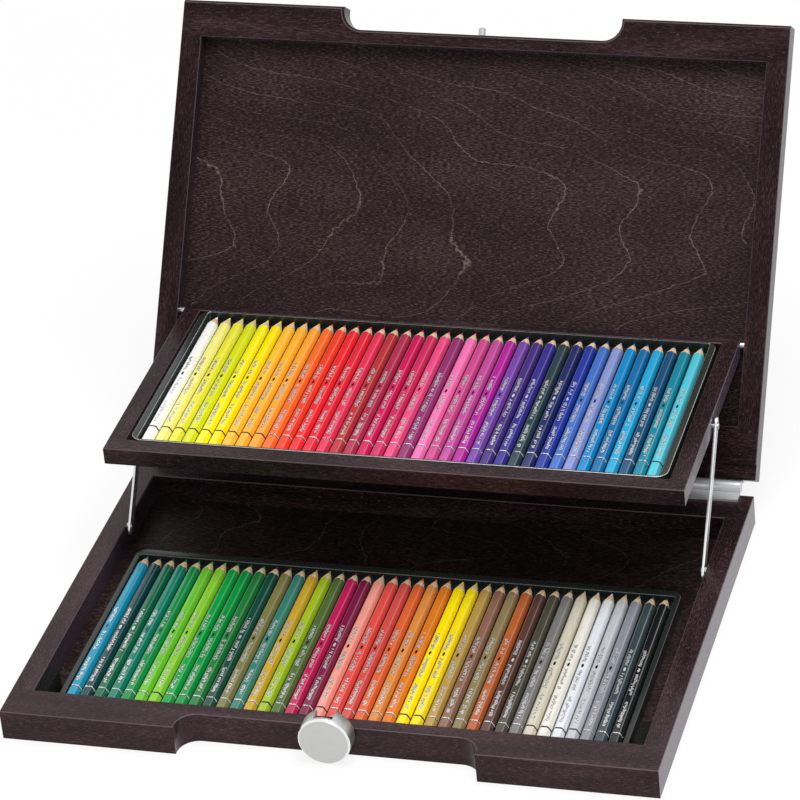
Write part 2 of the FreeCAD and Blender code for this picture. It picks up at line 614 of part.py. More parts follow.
def link_bar():
    """Flat steel bar with round ends that run a little past both pivots."""
    half = LINK_WIDTH / 2
    low, high = -LINK_TAIL, ARM_LENGTH + LINK_TAIL
    x0, x1 = LINK_INNER_X, LINK_OUTER_X
    bar = block(x0, x1, low, high, -half, half)
    bar = bar.fuse([rod_x(x0, x1, low, 0, half), rod_x(x0, x1, high, 0, half)]).removeSplitter()
    foot_bore = rod_x(x0 - OVERRUN, x1 + OVERRUN, 0, 0, PIVOT_PIN_RADIUS + RUNNING_CLEARANCE)
    head_bore = rod_x(x0 - OVERRUN, x1 + OVERRUN, ARM_LENGTH, 0,
                      UPPER_PIN_RADIUS + RUNNING_CLEARANCE)
    bar = bar.cut([foot_bore, head_bore])
    bar.rotate(V(0, 0, 0), X_AXIS, math.degrees(ARM_OPEN))
    bar.translate(V(0, LINK_FOOT_Y, LINK_FOOT_Z))
    return bar


# Inserts and pencils

def thermoformed_insert(half, y0, y1, z0, rim, floor, pocket_half, pocket_y0, pocket_y1,
                        places, butt_y):
    """Thin skin with a rolled rim, a raised floor and two grooved cradles across it."""
    corner = INSERT_CORNER_RADIUS
    skin = INSERT_SKIN
    inner_corner = POCKET_CORNER_RADIUS
    rim_z = z0 + rim
    floor_z = z0 + floor
    outer = rounded_block(half, y0, y1, z0, rim_z, corner)
    pocket = rounded_block(pocket_half, pocket_y0, pocket_y1, floor_z, rim_z + OVERRUN,
                           inner_corner)
    under = rounded_block(half - skin, y0 + skin, y1 - skin, z0 - OVERRUN, rim_z - skin,
                          corner - skin)
    kept = rounded_block(pocket_half + skin, pocket_y0 - skin, pocket_y1 + skin, floor_z - skin,
                         rim_z, inner_corner + skin)
    under = under.cut(kept)
    shape = outer.cut(pocket).cut(under)
    butt_cradle = butt_y + CRADLE_INSET
    tip_cradle = butt_y + PENCIL_LENGTH - CRADLE_INSET
    for y in (butt_cradle, tip_cradle):
        bar = block(-pocket_half, pocket_half, y - CRADLE_WIDTH / 2, y + CRADLE_WIDTH / 2,
                    floor_z, floor_z + CRADLE_HEIGHT)
        grooves = [cradle_groove(x, y, floor_z) for x in places]
        shape = shape.fuse(bar.cut(grooves))
    return shape.removeSplitter()


def cradle_groove(x, y, floor_z):
    """Space of one pencil through a cradle, with clearance at its sides."""
    radius = PENCIL_RADIUS + CRADLE_CLEARANCE
    start = y - CRADLE_WIDTH / 2 - OVERRUN
    centre_z = floor_z + radius * math.cos(math.pi / 6)
    return hexagon_bar(x, centre_z, start, CRADLE_WIDTH + OVERRUN * 2, radius)


def hexagon_bar(x, z, y, length, radius):
    """Hexagonal bar along Y with a flat down."""
    corners = [V(x + radius * math.cos(math.pi * i / 3), y, z + radius * math.sin(math.pi * i / 3))
               for i in range(6)]
    outline = Part.makePolygon(corners + corners[:1])
    return Part.Face(outline).extrude(V(0, length, 0))


def pencil():
    """Sharpened casing and lead, butt at the origin, pointing along +Y."""
    slope = (PENCIL_RADIUS - LEAD_BLUNT_RADIUS) / PENCIL_CONE_LENGTH
    cone_start = PENCIL_LENGTH - PENCIL_CONE_LENGTH
    lead_radius = LEAD_DIAMETER / 2
    wood_radius = lead_radius + WOOD_EDGE_AT_LEAD
    wood_end = cone_start + (PENCIL_RADIUS - wood_radius) / slope
    bar = hexagon_bar(0, 0, 0, wood_end, PENCIL_RADIUS)
    body = Part.makeCylinder(PENCIL_RADIUS + OVERRUN, cone_start + OVERRUN, V(0, -OVERRUN, 0), Y_AXIS)
    cone = Part.makeCone(PENCIL_RADIUS, wood_radius, wood_end - cone_start,
                         V(0, cone_start, 0), Y_AXIS)
    bore = rod_y(-OVERRUN, wood_end + OVERRUN, 0, 0, lead_radius)
    casing = bar.common(body.fuse(cone)).cut(bore)
    core = rod_y(0, wood_end, 0, 0, lead_radius)
    point = Part.makeCone(lead_radius, LEAD_BLUNT_RADIUS, PENCIL_LENGTH - wood_end,
                          V(0, wood_end, 0), Y_AXIS)
    return casing, core.fuse(point)


def row_places(count, pitch):
    """Pencil axes across a row, centred."""
    return [pitch * i - pitch * (count - 1) / 2 for i in range(count)]


def place(shape, x, y, z):
    """A copy of a pencil piece at its place."""
    copy = shape.copy()
    copy.translate(V(x, y, z))
    return copy


def write_row(tier, families, places, butt_y, axis_z):
    """Casings by colour family, and all the leads of a row in one node."""
    casing, lead = pencil()
    for family in sorted(set(families)):
        own = [x for x, name in zip(places, families) if name == family]
        write("pencils_%s_%s" % (tier, family), [place(casing, x, butt_y, axis_z) for x in own])
    write("pencil_leads_%s" % tier, [place(lead, x, butt_y, axis_z) for x in places])


def build_rows():
    """Both inserts with their pencils."""
    places = row_places(UPPER_COUNT, UPPER_PITCH)
    y0 = TRAY_INNER_FRONT_Y + INSERT_FRONT_GAP
    butt_y = y0 + UPPER_RIM_FRONT + UPPER_BUTT_CLEARANCE
    write("upper_insert", [thermoformed_insert(
        UPPER_INSERT_HALF, y0, y0 + UPPER_INSERT_LENGTH, TRAY_FLOOR_TOP_Z, UPPER_RIM_HEIGHT,
        INSERT_SKIN, UPPER_POCKET_HALF, y0 + UPPER_RIM_FRONT,
        y0 + UPPER_INSERT_LENGTH - UPPER_RIM_REAR, places, butt_y)])
    axis_z = TRAY_FLOOR_TOP_Z + INSERT_SKIN + PENCIL_APOTHEM
    write_row("upper", UPPER_FAMILIES, places, butt_y, axis_z)

    places = row_places(LOWER_COUNT, LOWER_PITCH)
    y0 = NUT_REAR_Y + NUT_TO_INSERT
    butt_y = y0 + LOWER_RIM_FRONT + LOWER_BUTT_CLEARANCE
    pocket_end = butt_y + PENCIL_LENGTH + LOWER_TIP_CLEARANCE
    write("lower_insert", [thermoformed_insert(
        LOWER_INSERT_HALF, y0, pocket_end + LOWER_RIM_REAR, BASE_FLOOR, LOWER_RIM_HEIGHT,
        LOWER_FLOOR_HEIGHT, LOWER_POCKET_HALF, y0 + LOWER_RIM_FRONT, pocket_end, places, butt_y)])
    axis_z = BASE_FLOOR + LOWER_FLOOR_HEIGHT + PENCIL_APOTHEM
    write_row("lower", LOWER_FAMILIES, places, butt_y, axis_z)


# Turn catch

def knob_bush():
    """Flanged bush pressed through the front rail."""
    barrel = rod_y(NOTCH_Y, INNER_FRONT_Y, 0, KNOB_Z, BUSH_RADIUS)
    flange = rod_y(KNOB_REAR_Y + BUSH_END_PLAY, NOTCH_Y, 0, KNOB_Z, BUSH_RADIUS + BUSH_FLANGE)
    bore = rod_y(KNOB_REAR_Y - OVERRUN, INNER_FRONT_Y + OVERRUN, 0, KNOB_Z,
                 SPINDLE_RADIUS + RUNNING_CLEARANCE)
    return barrel.fuse(flange).cut(bore)


def build_catch():
    """Cup-shaped knob with a slot in its rim, on a spindle held by a nut behind the rail."""
    cup = rod_y(KNOB_FRONT_Y, KNOB_REAR_Y, 0, KNOB_Z, KNOB_RADIUS)
    cup = cup.makeChamfer(KNOB_BEVEL, [e for e in cup.Edges if lies_at(e, 1, KNOB_FRONT_Y)])
    cavity_y = KNOB_FRONT_Y + KNOB_FACE
    beyond = KNOB_REAR_Y + OVERRUN
    hub = rod_y(cavity_y, beyond, 0, KNOB_Z, KNOB_HUB_RADIUS)
    cavity = rod_y(cavity_y, beyond, 0, KNOB_Z, KNOB_CAVITY_RADIUS).cut(hub)
    half = KNOB_SLOT_WIDTH / 2
    slot = block(-half, half, cavity_y, beyond, KNOB_Z + KNOB_HUB_RADIUS,
                 KNOB_Z + KNOB_RADIUS + OVERRUN)
    spindle = rod_y(cavity_y, NUT_REAR_Y, 0, KNOB_Z, SPINDLE_RADIUS)
    write("catch_knob", [cup.cut([cavity, slot, spindle])])
    write("knob_spindle", [spindle])
    nut = rod_y(NUT_FRONT_Y, NUT_REAR_Y, 0, KNOB_Z, SPINDLE_RADIUS + NUT_WALL)
    write("knob_nut", [nut.cut(spindle)])
    write("knob_bush", [knob_bush()])


def build_links():
    """Left and right link bars."""
    right, left = on_both_sides(link_bar())
    write("link_right", [right])
    write("link_left", [left])


build_base()
build_lid()
build_hinge()
build_tray()
build_links()
build_rows()
build_catch()

print("case", round(CASE_HALF * 2, 3), round(CASE_DEPTH, 3), CASE_TOP_Z)
print("hinge", round(HINGE_Y, 4), round(HINGE_Z, 4))
print("tray pivot", round(TRAY_PIVOT_Y, 4), round(TRAY_PIVOT_Z, 4))
print("closed pivot", round(CLOSED_PIVOT_Y, 4), round(CLOSED_PIVOT_Z, 4))
print("link foot", round(LINK_FOOT_Y, 4), LINK_FOOT_Z)
print("link head", round(LINK_HEAD_Y, 4), round(LINK_HEAD_Z, 4))
print("knob", KNOB_FRONT_Y, KNOB_Z, "pitches", UPPER_PITCH, round(LOWER_PITCH, 4))
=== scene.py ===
import math
import bmesh
import bpy
from mathutils import Euler, Matrix, Vector


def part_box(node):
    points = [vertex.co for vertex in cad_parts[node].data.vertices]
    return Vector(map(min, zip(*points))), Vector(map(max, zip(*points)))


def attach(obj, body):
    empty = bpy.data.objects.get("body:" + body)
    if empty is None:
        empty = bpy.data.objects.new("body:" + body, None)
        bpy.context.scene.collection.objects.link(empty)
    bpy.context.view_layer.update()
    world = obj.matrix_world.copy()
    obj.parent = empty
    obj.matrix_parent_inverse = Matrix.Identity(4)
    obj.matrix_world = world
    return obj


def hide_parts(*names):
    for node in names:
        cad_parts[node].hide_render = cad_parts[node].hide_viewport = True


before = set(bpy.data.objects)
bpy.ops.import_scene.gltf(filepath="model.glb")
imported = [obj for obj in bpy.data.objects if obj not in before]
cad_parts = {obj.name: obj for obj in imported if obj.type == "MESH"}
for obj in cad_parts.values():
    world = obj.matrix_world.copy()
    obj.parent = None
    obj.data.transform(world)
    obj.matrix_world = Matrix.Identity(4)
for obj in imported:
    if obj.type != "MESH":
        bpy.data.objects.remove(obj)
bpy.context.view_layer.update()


# Base rails: four solid hardwood rails, stained dark brown and waxed, doweled at the corners.
# The stain leaves the fibres streaked, and the wax gives a dull sheen that brightens at a slant.

MM = 0.001
WOOD_PORE_DARK = "0D0809"
WOOD_STAIN = "1E1416"
WOOD_STAIN_WARM = "302023"
WOOD_FIBRE_LIGHT = "503C42"
WOOD_FLECK = "7A656C"
# Pale colour of the painted highlight along the arris
WOOD_ARRIS_HIGHLIGHT = "8A7A7C"
WOOD_SHEEN = "FFD8E0"
WOOD_FUZZ = "DCC6EE"
WOOD_STOPS = ((0.38, WOOD_PORE_DARK), (0.46, WOOD_STAIN), (0.54, WOOD_STAIN_WARM),
              (0.64, WOOD_FIBRE_LIGHT))
FIBRE_SIZE = (4.0 * MM, 0.5 * MM, 0.5 * MM)
FIBRE_LOW = 0.3
FIBRE_HIGH = 0.7
WOOD_FLECK_SIZE = (2.6 * MM, 0.6 * MM, 0.6 * MM)
FLECK_OVER = 0.66
FLECK_FULL_OVER = 0.8
FLECK_SHARE = 0.6
BAND_SIZE = (90.0 * MM, 14.0 * MM, 14.0 * MM)
BAND_SHARE = 0.28
# Place and strength of the arris's painted highlight
ARRIS_BELOW_RIM = 0.385 * MM
ARRIS_HALF_DEPTH = 0.315 * MM
ARRIS_HIGHLIGHT_SHARE = 0.4
WOOD_DULL = 0.3
WOOD_WAXED = 0.14
GRAIN_RELIEF = 0.3
GRAIN_DEPTH = 0.06 * MM
SHEEN_SHARE = 0.8
SHEEN_SPREAD = 0.3
ALONG_X = (0.0, 0.0, 0.0)
ALONG_Y = (0.0, 0.0, math.pi / 2)


def colour(hex_code):
    """An sRGB hex value as linear red, green, blue and alpha."""
    channels = [int(hex_code[i:i + 2], 16) / 255 for i in (0, 2, 4)]
    return [c / 12.92 if c <= 0.04045 else ((c + 0.055) / 1.055) ** 2.4 for c in channels] + [1.0]


def add(material, kind, settings=None, inputs=None):
    """Adds one shader node. An input that is a socket is linked, any other is set."""
    node = material.node_tree.nodes.new("ShaderNode" + kind)
    for name, value in (settings or {}).items():
        if name != "stops":
            setattr(node, name, value)
            continue
        stops = [(position, colour(shade)) for position, shade in value]
        band = node.color_ramp.elements
        band[0].position, band[0].color = stops[0]
        band[1].position, band[1].color = stops[-1]
        for position, shade in stops[1:-1]:
            band.new(position).color = shade
    for name, value in (inputs or {}).items():
        if isinstance(value, bpy.types.NodeSocket):
            material.node_tree.links.new(value, node.inputs[name])
        else:
            node.inputs[name].default_value = value
    return node


def new_material(name):
    """An empty material with its surface shader and its place coordinates."""
    made = bpy.data.materials.new(name)
    made.use_nodes = True
    return made, made.node_tree.nodes["Principled BSDF"], add(made, "TexCoord")


def dress(finish, *nodes):
    """Gives solids their finish."""
    for node in nodes:
        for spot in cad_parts[node].material_slots:
            spot.material = finish


def rim_height(node, turn):
    """How high a rail's rim lies in its own turned frame."""
    upright = Euler(turn).to_matrix().inverted()
    return max((upright @ corner.co).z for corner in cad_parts[node].data.vertices)


def stained_wood(name, turn, shift, rim, painted_shade_scale=1.0, gloss=0.24):
    """Dark stained, waxed hardwood; streaks along X after the turn. The painted shade scale
    darkens the whole colour as painted shade.
    """
    wood, surface, place = new_material(name)
    spot = {"Vector": place.outputs["Object"], "Rotation": turn, "Location": shift}
    # Fibres in bundles half a millimetre wide; the real ones are finer and would not show
    along = add(wood, "Mapping", {"vector_type": "TEXTURE"}, dict(spot, Scale=FIBRE_SIZE))
    fibre = add(wood, "TexNoise", None, {"Vector": along.outputs[0], "Scale": 1.0,
                                         "Detail": 3.0, "Roughness": 0.65})
    # Short pale flecks
    short = add(wood, "Mapping", {"vector_type": "TEXTURE"}, dict(spot, Scale=WOOD_FLECK_SIZE))
    fleck = add(wood, "TexNoise", None, {"Vector": short.outputs[0], "Scale": 1.0,
                                         "Detail": 1.0})
    fleck_seen = add(wood, "MapRange", None, {"Value": fleck.outputs["Fac"],
                                              "From Min": FLECK_OVER,
                                              "From Max": FLECK_FULL_OVER,
                                              "To Max": FLECK_SHARE})
    # Slow change of tone in long bands
    wide = add(wood, "Mapping", {"vector_type": "TEXTURE"}, dict(spot, Scale=BAND_SIZE))
    tone = add(wood, "TexNoise", None, {"Vector": wide.outputs[0], "Scale": 1.0, "Detail": 2.0})
    blend = add(wood, "Mix", {"data_type": "FLOAT"},
                {0: BAND_SHARE, 2: fibre.outputs["Fac"], 3: tone.outputs["Fac"]})
    stain = add(wood, "ValToRGB", {"stops": WOOD_STOPS}, {"Fac": blend.outputs[0]})
    flecked = add(wood, "Mix", {"data_type": "RGBA"},
                  {0: fleck_seen.outputs[0], 6: stain.outputs[0], 7: colour(WOOD_FLECK)})
    # A band just below the rim, along the arris, is painted pale as a highlight
    upright = add(wood, "Mapping", {"vector_type": "TEXTURE"},
                  {"Vector": place.outputs["Object"], "Rotation": turn})
    height = add(wood, "SeparateXYZ", None, {"Vector": upright.outputs[0]})
    arris = add(wood, "Math", {"operation": "COMPARE"},
                {0: height.outputs[2], 1: rim - ARRIS_BELOW_RIM, 2: ARRIS_HALF_DEPTH})
    arris_painted_highlight = add(wood, "Math", {"operation": "MULTIPLY"},
                     {0: arris.outputs[0], 1: ARRIS_HIGHLIGHT_SHARE})
    arris_highlighted_tone = add(wood, "Mix", {"data_type": "RGBA"},
                 {0: arris_painted_highlight.outputs[0], 6: flecked.outputs[2], 7: colour(WOOD_ARRIS_HIGHLIGHT)})
    # The light fibres hold more wax and are smoother
    rough = add(wood, "MapRange", None, {"Value": fibre.outputs["Fac"], "From Min": FIBRE_LOW,
                                         "From Max": FIBRE_HIGH, "To Min": WOOD_DULL,
                                         "To Max": WOOD_WAXED})
    relief = add(wood, "Bump", None, {"Height": fibre.outputs["Fac"], "Strength": GRAIN_RELIEF,
                                      "Distance": GRAIN_DEPTH})
    # The whole colour is scaled down as painted shade, for rails that lie in less light
    painted_shade_tone = add(wood, "VectorMath", {"operation": "SCALE"},
                 {0: arris_highlighted_tone.outputs[2], "Scale": painted_shade_scale})
    wood.node_tree.links.new(painted_shade_tone.outputs[0], surface.inputs["Base Color"])
    wood.node_tree.links.new(rough.outputs[0], surface.inputs["Roughness"])
    wood.node_tree.links.new(relief.outputs[0], surface.inputs["Normal"])
    surface.inputs["Specular IOR Level"].default_value = gloss
    surface.inputs["Specular Tint"].default_value = colour(WOOD_SHEEN)
    surface.inputs["Sheen Weight"].default_value = gloss * SHEEN_SHARE
    surface.inputs["Sheen Roughness"].default_value = SHEEN_SPREAD
    surface.inputs["Sheen Tint"].default_value = colour(WOOD_FUZZ)
    return wood


base_rim = rim_height("base_front_rail", ALONG_X)
front_wood = stained_wood("stained_hardwood_front", ALONG_X, (0.0, 0.0, 0.0), base_rim)
rear_wood = stained_wood("stained_hardwood_rear", ALONG_X, (0.31, 0.17, 0.05), base_rim)
side_wood = stained_wood("stained_hardwood_sides", ALONG_Y, (0.11, 0.23, 0.07), base_rim)
dress(front_wood, "base_front_rail")
dress(rear_wood, "base_rear_rail")
dress(side_wood, "base_left_rail", "base_right_rail")


# Base floor: thin board of the same stained wood, sanded and let into a rebate under the rails.
# It lies in shade inside the case and shows only a quiet grain.

BOARD_DARK = "110B0B"
BOARD_STAIN = "1F1615"
BOARD_LIGHT = "2F2322"
BOARD_FLECK = "564645"
BOARD_LINE = "82736F"
BOARD_STOPS = ((0.39, BOARD_DARK), (0.47, BOARD_STAIN), (0.55, BOARD_LIGHT), (0.66, BOARD_FLECK))
BOARD_FLECK_SIZE = (3.0 * MM, 0.45 * MM, 0.45 * MM)
CLOUD_SIZE = (90.0 * MM, 40.0 * MM, 40.0 * MM)
CLOUD_SHARE = 0.14
ARCH_STEP = 50.0 * MM
ARCH_BEND = 0.9
ARCH_SWAY = 2.6
ARCH_SWAY_SIZE = (90.0 * MM, 50.0 * MM, 50.0 * MM)
ARCH_FRAY = 0.16
ARCH_FRAY_SIZE = 5.0 * MM
HALF_STEP = 0.5
LINE_WIDTH = 0.014
LINE_FAINT = 0.3
LINE_FAINT_UNDER = 0.42
LINE_CLEAR = 0.7
LINE_CLEAR_OVER = 0.56
LINE_BROKEN_UNDER = 0.33
LINE_WHOLE_OVER = 0.5
BOARD_ROUGHNESS = 0.4
BOARD_GLOSS = 0.1


def stained_board(name, turn, shift, tip):
    """Veneered board with short flecks and thin pale growth lines in arches round a tip."""
    board, surface, place = new_material(name)
    spot = {"Vector": place.outputs["Object"], "Rotation": turn, "Location": shift}
    # Flecks half a millimetre wide; the real ones are finer and would not show
    short = add(board, "Mapping", {"vector_type": "TEXTURE"}, dict(spot, Scale=BOARD_FLECK_SIZE))
    fleck = add(board, "TexNoise", None, {"Vector": short.outputs[0], "Scale": 1.0,
                                          "Detail": 2.0, "Roughness": 0.6})
    # Clouds of tone
    wide = add(board, "Mapping", {"vector_type": "TEXTURE"}, dict(spot, Scale=CLOUD_SIZE))
    cloud = add(board, "TexNoise", None, {"Vector": wide.outputs[0], "Scale": 1.0,
                                          "Detail": 2.0})
    blend = add(board, "Mix", {"data_type": "FLOAT"},
                {0: CLOUD_SHARE, 2: fleck.outputs["Fac"], 3: cloud.outputs["Fac"]})
    stain = add(board, "ValToRGB", {"stops": BOARD_STOPS}, {"Fac": blend.outputs[0]})
    # Growth lines: nested arches, one every step, swayed slowly and frayed finely
    from_tip = add(board, "Mapping", {"vector_type": "TEXTURE"},
                   {"Vector": place.outputs["Object"], "Rotation": turn, "Location": tip,
                    "Scale": (ARCH_STEP, ARCH_STEP, ARCH_STEP)})
    off_tip = add(board, "SeparateXYZ", None, {"Vector": from_tip.outputs[0]})
    spread = add(board, "Math", {"operation": "MULTIPLY"},
                 {0: off_tip.outputs[1], 1: off_tip.outputs[1]})
    arch = add(board, "Math", {"operation": "MULTIPLY_ADD"},
               {0: spread.outputs[0], 1: ARCH_BEND, 2: off_tip.outputs[0]})
    slow = add(board, "Mapping", {"vector_type": "TEXTURE"}, dict(spot, Scale=ARCH_SWAY_SIZE))
    sway = add(board, "TexNoise", None, {"Vector": slow.outputs[0], "Scale": 1.0, "Detail": 0.0})
    swayed = add(board, "Math", {"operation": "MULTIPLY_ADD"},
                 {0: sway.outputs["Fac"], 1: ARCH_SWAY, 2: arch.outputs[0]})
    fine = add(board, "Mapping", {"vector_type": "TEXTURE"},
               dict(spot, Scale=(ARCH_FRAY_SIZE, ARCH_FRAY_SIZE, ARCH_FRAY_SIZE)))
    fray = add(board, "TexNoise", None, {"Vector": fine.outputs[0], "Scale": 1.0, "Detail": 3.0})
    frayed = add(board, "Math", {"operation": "MULTIPLY_ADD"},
                 {0: fray.outputs["Fac"], 1: ARCH_FRAY, 2: swayed.outputs[0]})
    off_line = add(board, "Math", {"operation": "PINGPONG"}, {0: frayed.outputs[0], 1: HALF_STEP})
    line = add(board, "MapRange", None, {"Value": off_line.outputs[0], "From Min": 0.0,
                                         "From Max": LINE_WIDTH, "To Min": 1.0, "To Max": 0.0})
    # A line fades from cloud to cloud and breaks at the dark flecks
    patchy = add(board, "MapRange", None, {"Value": cloud.outputs["Fac"],
                                           "From Min": LINE_FAINT_UNDER,
                                           "From Max": LINE_CLEAR_OVER,
                                           "To Min": LINE_FAINT, "To Max": LINE_CLEAR})
    broken = add(board, "MapRange", None, {"Value": fleck.outputs["Fac"],
                                           "From Min": LINE_BROKEN_UNDER,
                                           "From Max": LINE_WHOLE_OVER})
    line_faded = add(board, "Math", {"operation": "MULTIPLY"},
                     {0: line.outputs[0], 1: patchy.outputs[0]})
    line_seen = add(board, "Math", {"operation": "MULTIPLY"},
                    {0: line_faded.outputs[0], 1: broken.outputs[0]})
    lined = add(board, "Mix", {"data_type": "RGBA"},
                {0: line_seen.outputs[0], 6: stain.outputs[0], 7: colour(BOARD_LINE)})
    relief = add(board, "Bump", None, {"Height": fleck.outputs["Fac"], "Strength": GRAIN_RELIEF,
                                       "Distance": GRAIN_DEPTH})
    board.node_tree.links.new(lined.outputs[2], surface.inputs["Base Color"])
    board.node_tree.links.new(relief.outputs[0], surface.inputs["Normal"])
    surface.inputs["Roughness"].default_value = BOARD_ROUGHNESS
    surface.inputs["Specular IOR Level"].default_value = BOARD_GLOSS
    surface.inputs["Specular Tint"].default_value = colour(WOOD_SHEEN)
    return board


floor_board = stained_board("stained_board_floor", ALONG_X, shift=(0.2, 0.1, 0.0),
                            tip=(0.05, 0.1, 0.0))
dress(floor_board, "base_floor")


# Corner dowels of the base: turned beech pegs, glued across the butt joints and hidden in them.
# Raw beech is pale and pinkish with short dark pores.

BEECH = "C8A878"
BEECH_PORE = "9C7A50"
BEECH_STOPS = ((0.35, BEECH_PORE), (0.55, BEECH))
BEECH_PORE_SIZE = (3.0 * MM, 0.5 * MM, 0.5 * MM)
BEECH_ROUGHNESS = 0.7

beech, surface, place = new_material("raw_beech")
pores_along = add(beech, "Mapping", {"vector_type": "TEXTURE"},
                  {"Vector": place.outputs["Object"], "Rotation": ALONG_Y,
                   "Scale": BEECH_PORE_SIZE})
pores = add(beech, "TexNoise", None, {"Vector": pores_along.outputs[0], "Scale": 1.0,
                                      "Detail": 2.0})
beech_tone = add(beech, "ValToRGB", {"stops": BEECH_STOPS}, {"Fac": pores.outputs["Fac"]})
beech.node_tree.links.new(beech_tone.outputs[0], surface.inputs["Base Color"])
surface.inputs["Roughness"].default_value = BEECH_ROUGHNESS
dress(beech, "base_dowels")


# Hinge: one long satin aluminium hinge of two leaves and five knuckles on a steel pin.
# Rolled and brushed along its length, so that its sheen is drawn out across.

ALUMINIUM = "E4E5E7"
ALUMINIUM_DULL = "CBCDD0"
STEEL = "CFD1D3"
STEEL_DULL = "A6A9AC"
BRUSH_STROKE_SIZE = (12.0 * MM, 0.5 * MM, 0.5 * MM)
BRUSH_RELIEF = 0.15
BRUSH_DEPTH = 0.03 * MM


def brushed_metal(name, turn, bright, dull, smooth, rough, metallic=0.9):
    """Metal brushed along X after the turn; an anodised skin makes it less metallic."""
    metal, surface, place = new_material(name)
    # Brush strokes, coarser than the real ones so that they show
    along = add(metal, "Mapping", {"vector_type": "TEXTURE"},
                {"Vector": place.outputs["Object"], "Rotation": turn,
                 "Scale": BRUSH_STROKE_SIZE})
    strokes = add(metal, "TexNoise", None, {"Vector": along.outputs[0], "Scale": 1.0,
                                            "Detail": 3.0})
    tone = add(metal, "Mix", {"data_type": "RGBA"},
               {0: strokes.outputs["Fac"], 6: colour(dull), 7: colour(bright)})
    sheen = add(metal, "MapRange", None, {"Value": strokes.outputs["Fac"], "To Min": rough,
                                          "To Max": smooth})
    relief = add(metal, "Bump", None, {"Height": strokes.outputs["Fac"],
                                       "Strength": BRUSH_RELIEF, "Distance": BRUSH_DEPTH})
    metal.node_tree.links.new(tone.outputs[2], surface.inputs["Base Color"])
    metal.node_tree.links.new(sheen.outputs[0], surface.inputs["Roughness"])
    metal.node_tree.links.new(relief.outputs[0], surface.inputs["Normal"])
    surface.inputs["Metallic"].default_value = metallic
    return metal


satin_aluminium = brushed_metal("satin_anodised_aluminium", ALONG_X, ALUMINIUM, ALUMINIUM_DULL,
                                smooth=0.35, rough=0.5, metallic=0.65)
bright_steel = brushed_metal("bright_steel", ALONG_X, STEEL, STEEL_DULL, smooth=0.18, rough=0.34)
dress(satin_aluminium, "base_hinge_leaf", "lid_hinge_leaf")
dress(bright_steel, "hinge_pin", "base_hinge_screws", "lid_hinge_screws")


# Stop blocks: two pads of closed-cell foam glued in the front corners, where the tray comes down.
# Black and matt, with fine open pores that catch the light as specks.

FOAM_ROUNDING = 0.8 * MM
FOAM_BLACK = "080808"
FOAM_SPECK = "2A2A2C"
FOAM_STOPS = ((0.56, FOAM_BLACK), (0.72, FOAM_SPECK))
FOAM_CELL = 0.9 * MM
FOAM_RELIEF = 0.6
FOAM_DEPTH = 0.2 * MM
FOAM_ROUGHNESS = 0.95
FOAM_GLOSS = 0.15
JOINED_WITHIN = 0.001 * MM
FLAT_UNDER = math.radians(0.5)
SHARP_OVER = math.radians(40)
SMOOTH_UNDER = 35


def softened(node, width, segments, chosen=lambda edge: True):
    """A copy of a solid, joined up, with the chosen sharp edges rounded off."""
    shape = bmesh.new()
    shape.from_mesh(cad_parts[node].data)
    bmesh.ops.remove_doubles(shape, verts=shape.verts, dist=JOINED_WITHIN)
    bmesh.ops.dissolve_limit(shape, angle_limit=FLAT_UNDER, verts=shape.verts,
                             edges=shape.edges)
    sharp = [e for e in shape.edges
             if len(e.link_faces) == 2 and e.calc_face_angle() > SHARP_OVER and chosen(e)]
    bmesh.ops.bevel(shape, geom=sharp, offset=width, offset_type="OFFSET", affect="EDGES",
                    segments=segments, profile=0.5, clamp_overlap=True, material=-1)
    return shape


def piece(name, shape, finishes, body, nodes):
    """Makes an object of a shape; it rides on a body in place of its solids."""
    mesh = bpy.data.meshes.new(name)
    shape.to_mesh(mesh)
    shape.free()
    for finish in finishes:
        mesh.materials.append(finish)
    made = bpy.data.objects.new(name, mesh)
    bpy.context.collection.objects.link(made)
    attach(made, body)
    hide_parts(*nodes)
    return made


def smooth_over(made, degrees):
    """Shades a piece smooth except across edges sharper than the angle."""
    for face in made.data.polygons:
        face.use_smooth = True
    made.data.set_sharp_from_angle(angle=math.radians(degrees))


foam, surface, place = new_material("black_foam")
# Cells of the foam; the real ones are finer and would not show
cells = add(foam, "TexNoise", None, {"Vector": place.outputs["Object"], "Scale": 1 / FOAM_CELL,
                                     "Detail": 1.0})
foam_tone = add(foam, "ValToRGB", {"stops": FOAM_STOPS}, {"Fac": cells.outputs["Fac"]})
foam_relief = add(foam, "Bump", None, {"Height": cells.outputs["Fac"], "Strength": FOAM_RELIEF,
                                       "Distance": FOAM_DEPTH})
foam.node_tree.links.new(foam_tone.outputs[0], surface.inputs["Base Color"])
foam.node_tree.links.new(foam_relief.outputs[0], surface.inputs["Normal"])
surface.inputs["Roughness"].default_value = FOAM_ROUGHNESS
surface.inputs["Specular IOR Level"].default_value = FOAM_GLOSS
blocks = piece("foam_stop_blocks", softened("stop_blocks", FOAM_ROUNDING, segments=3), [foam],
               "case", ["stop_blocks"])
smooth_over(blocks, SMOOTH_UNDER)


# Lower insert: one sheet of dark grey-green polystyrene, vacuum formed over a mould.
# Its rolled rim catches a thin line of light, and the skin has a faint satin orange peel.

PLASTIC_DARK = "1B1F1D"
PLASTIC_LIGHT = "272B29"
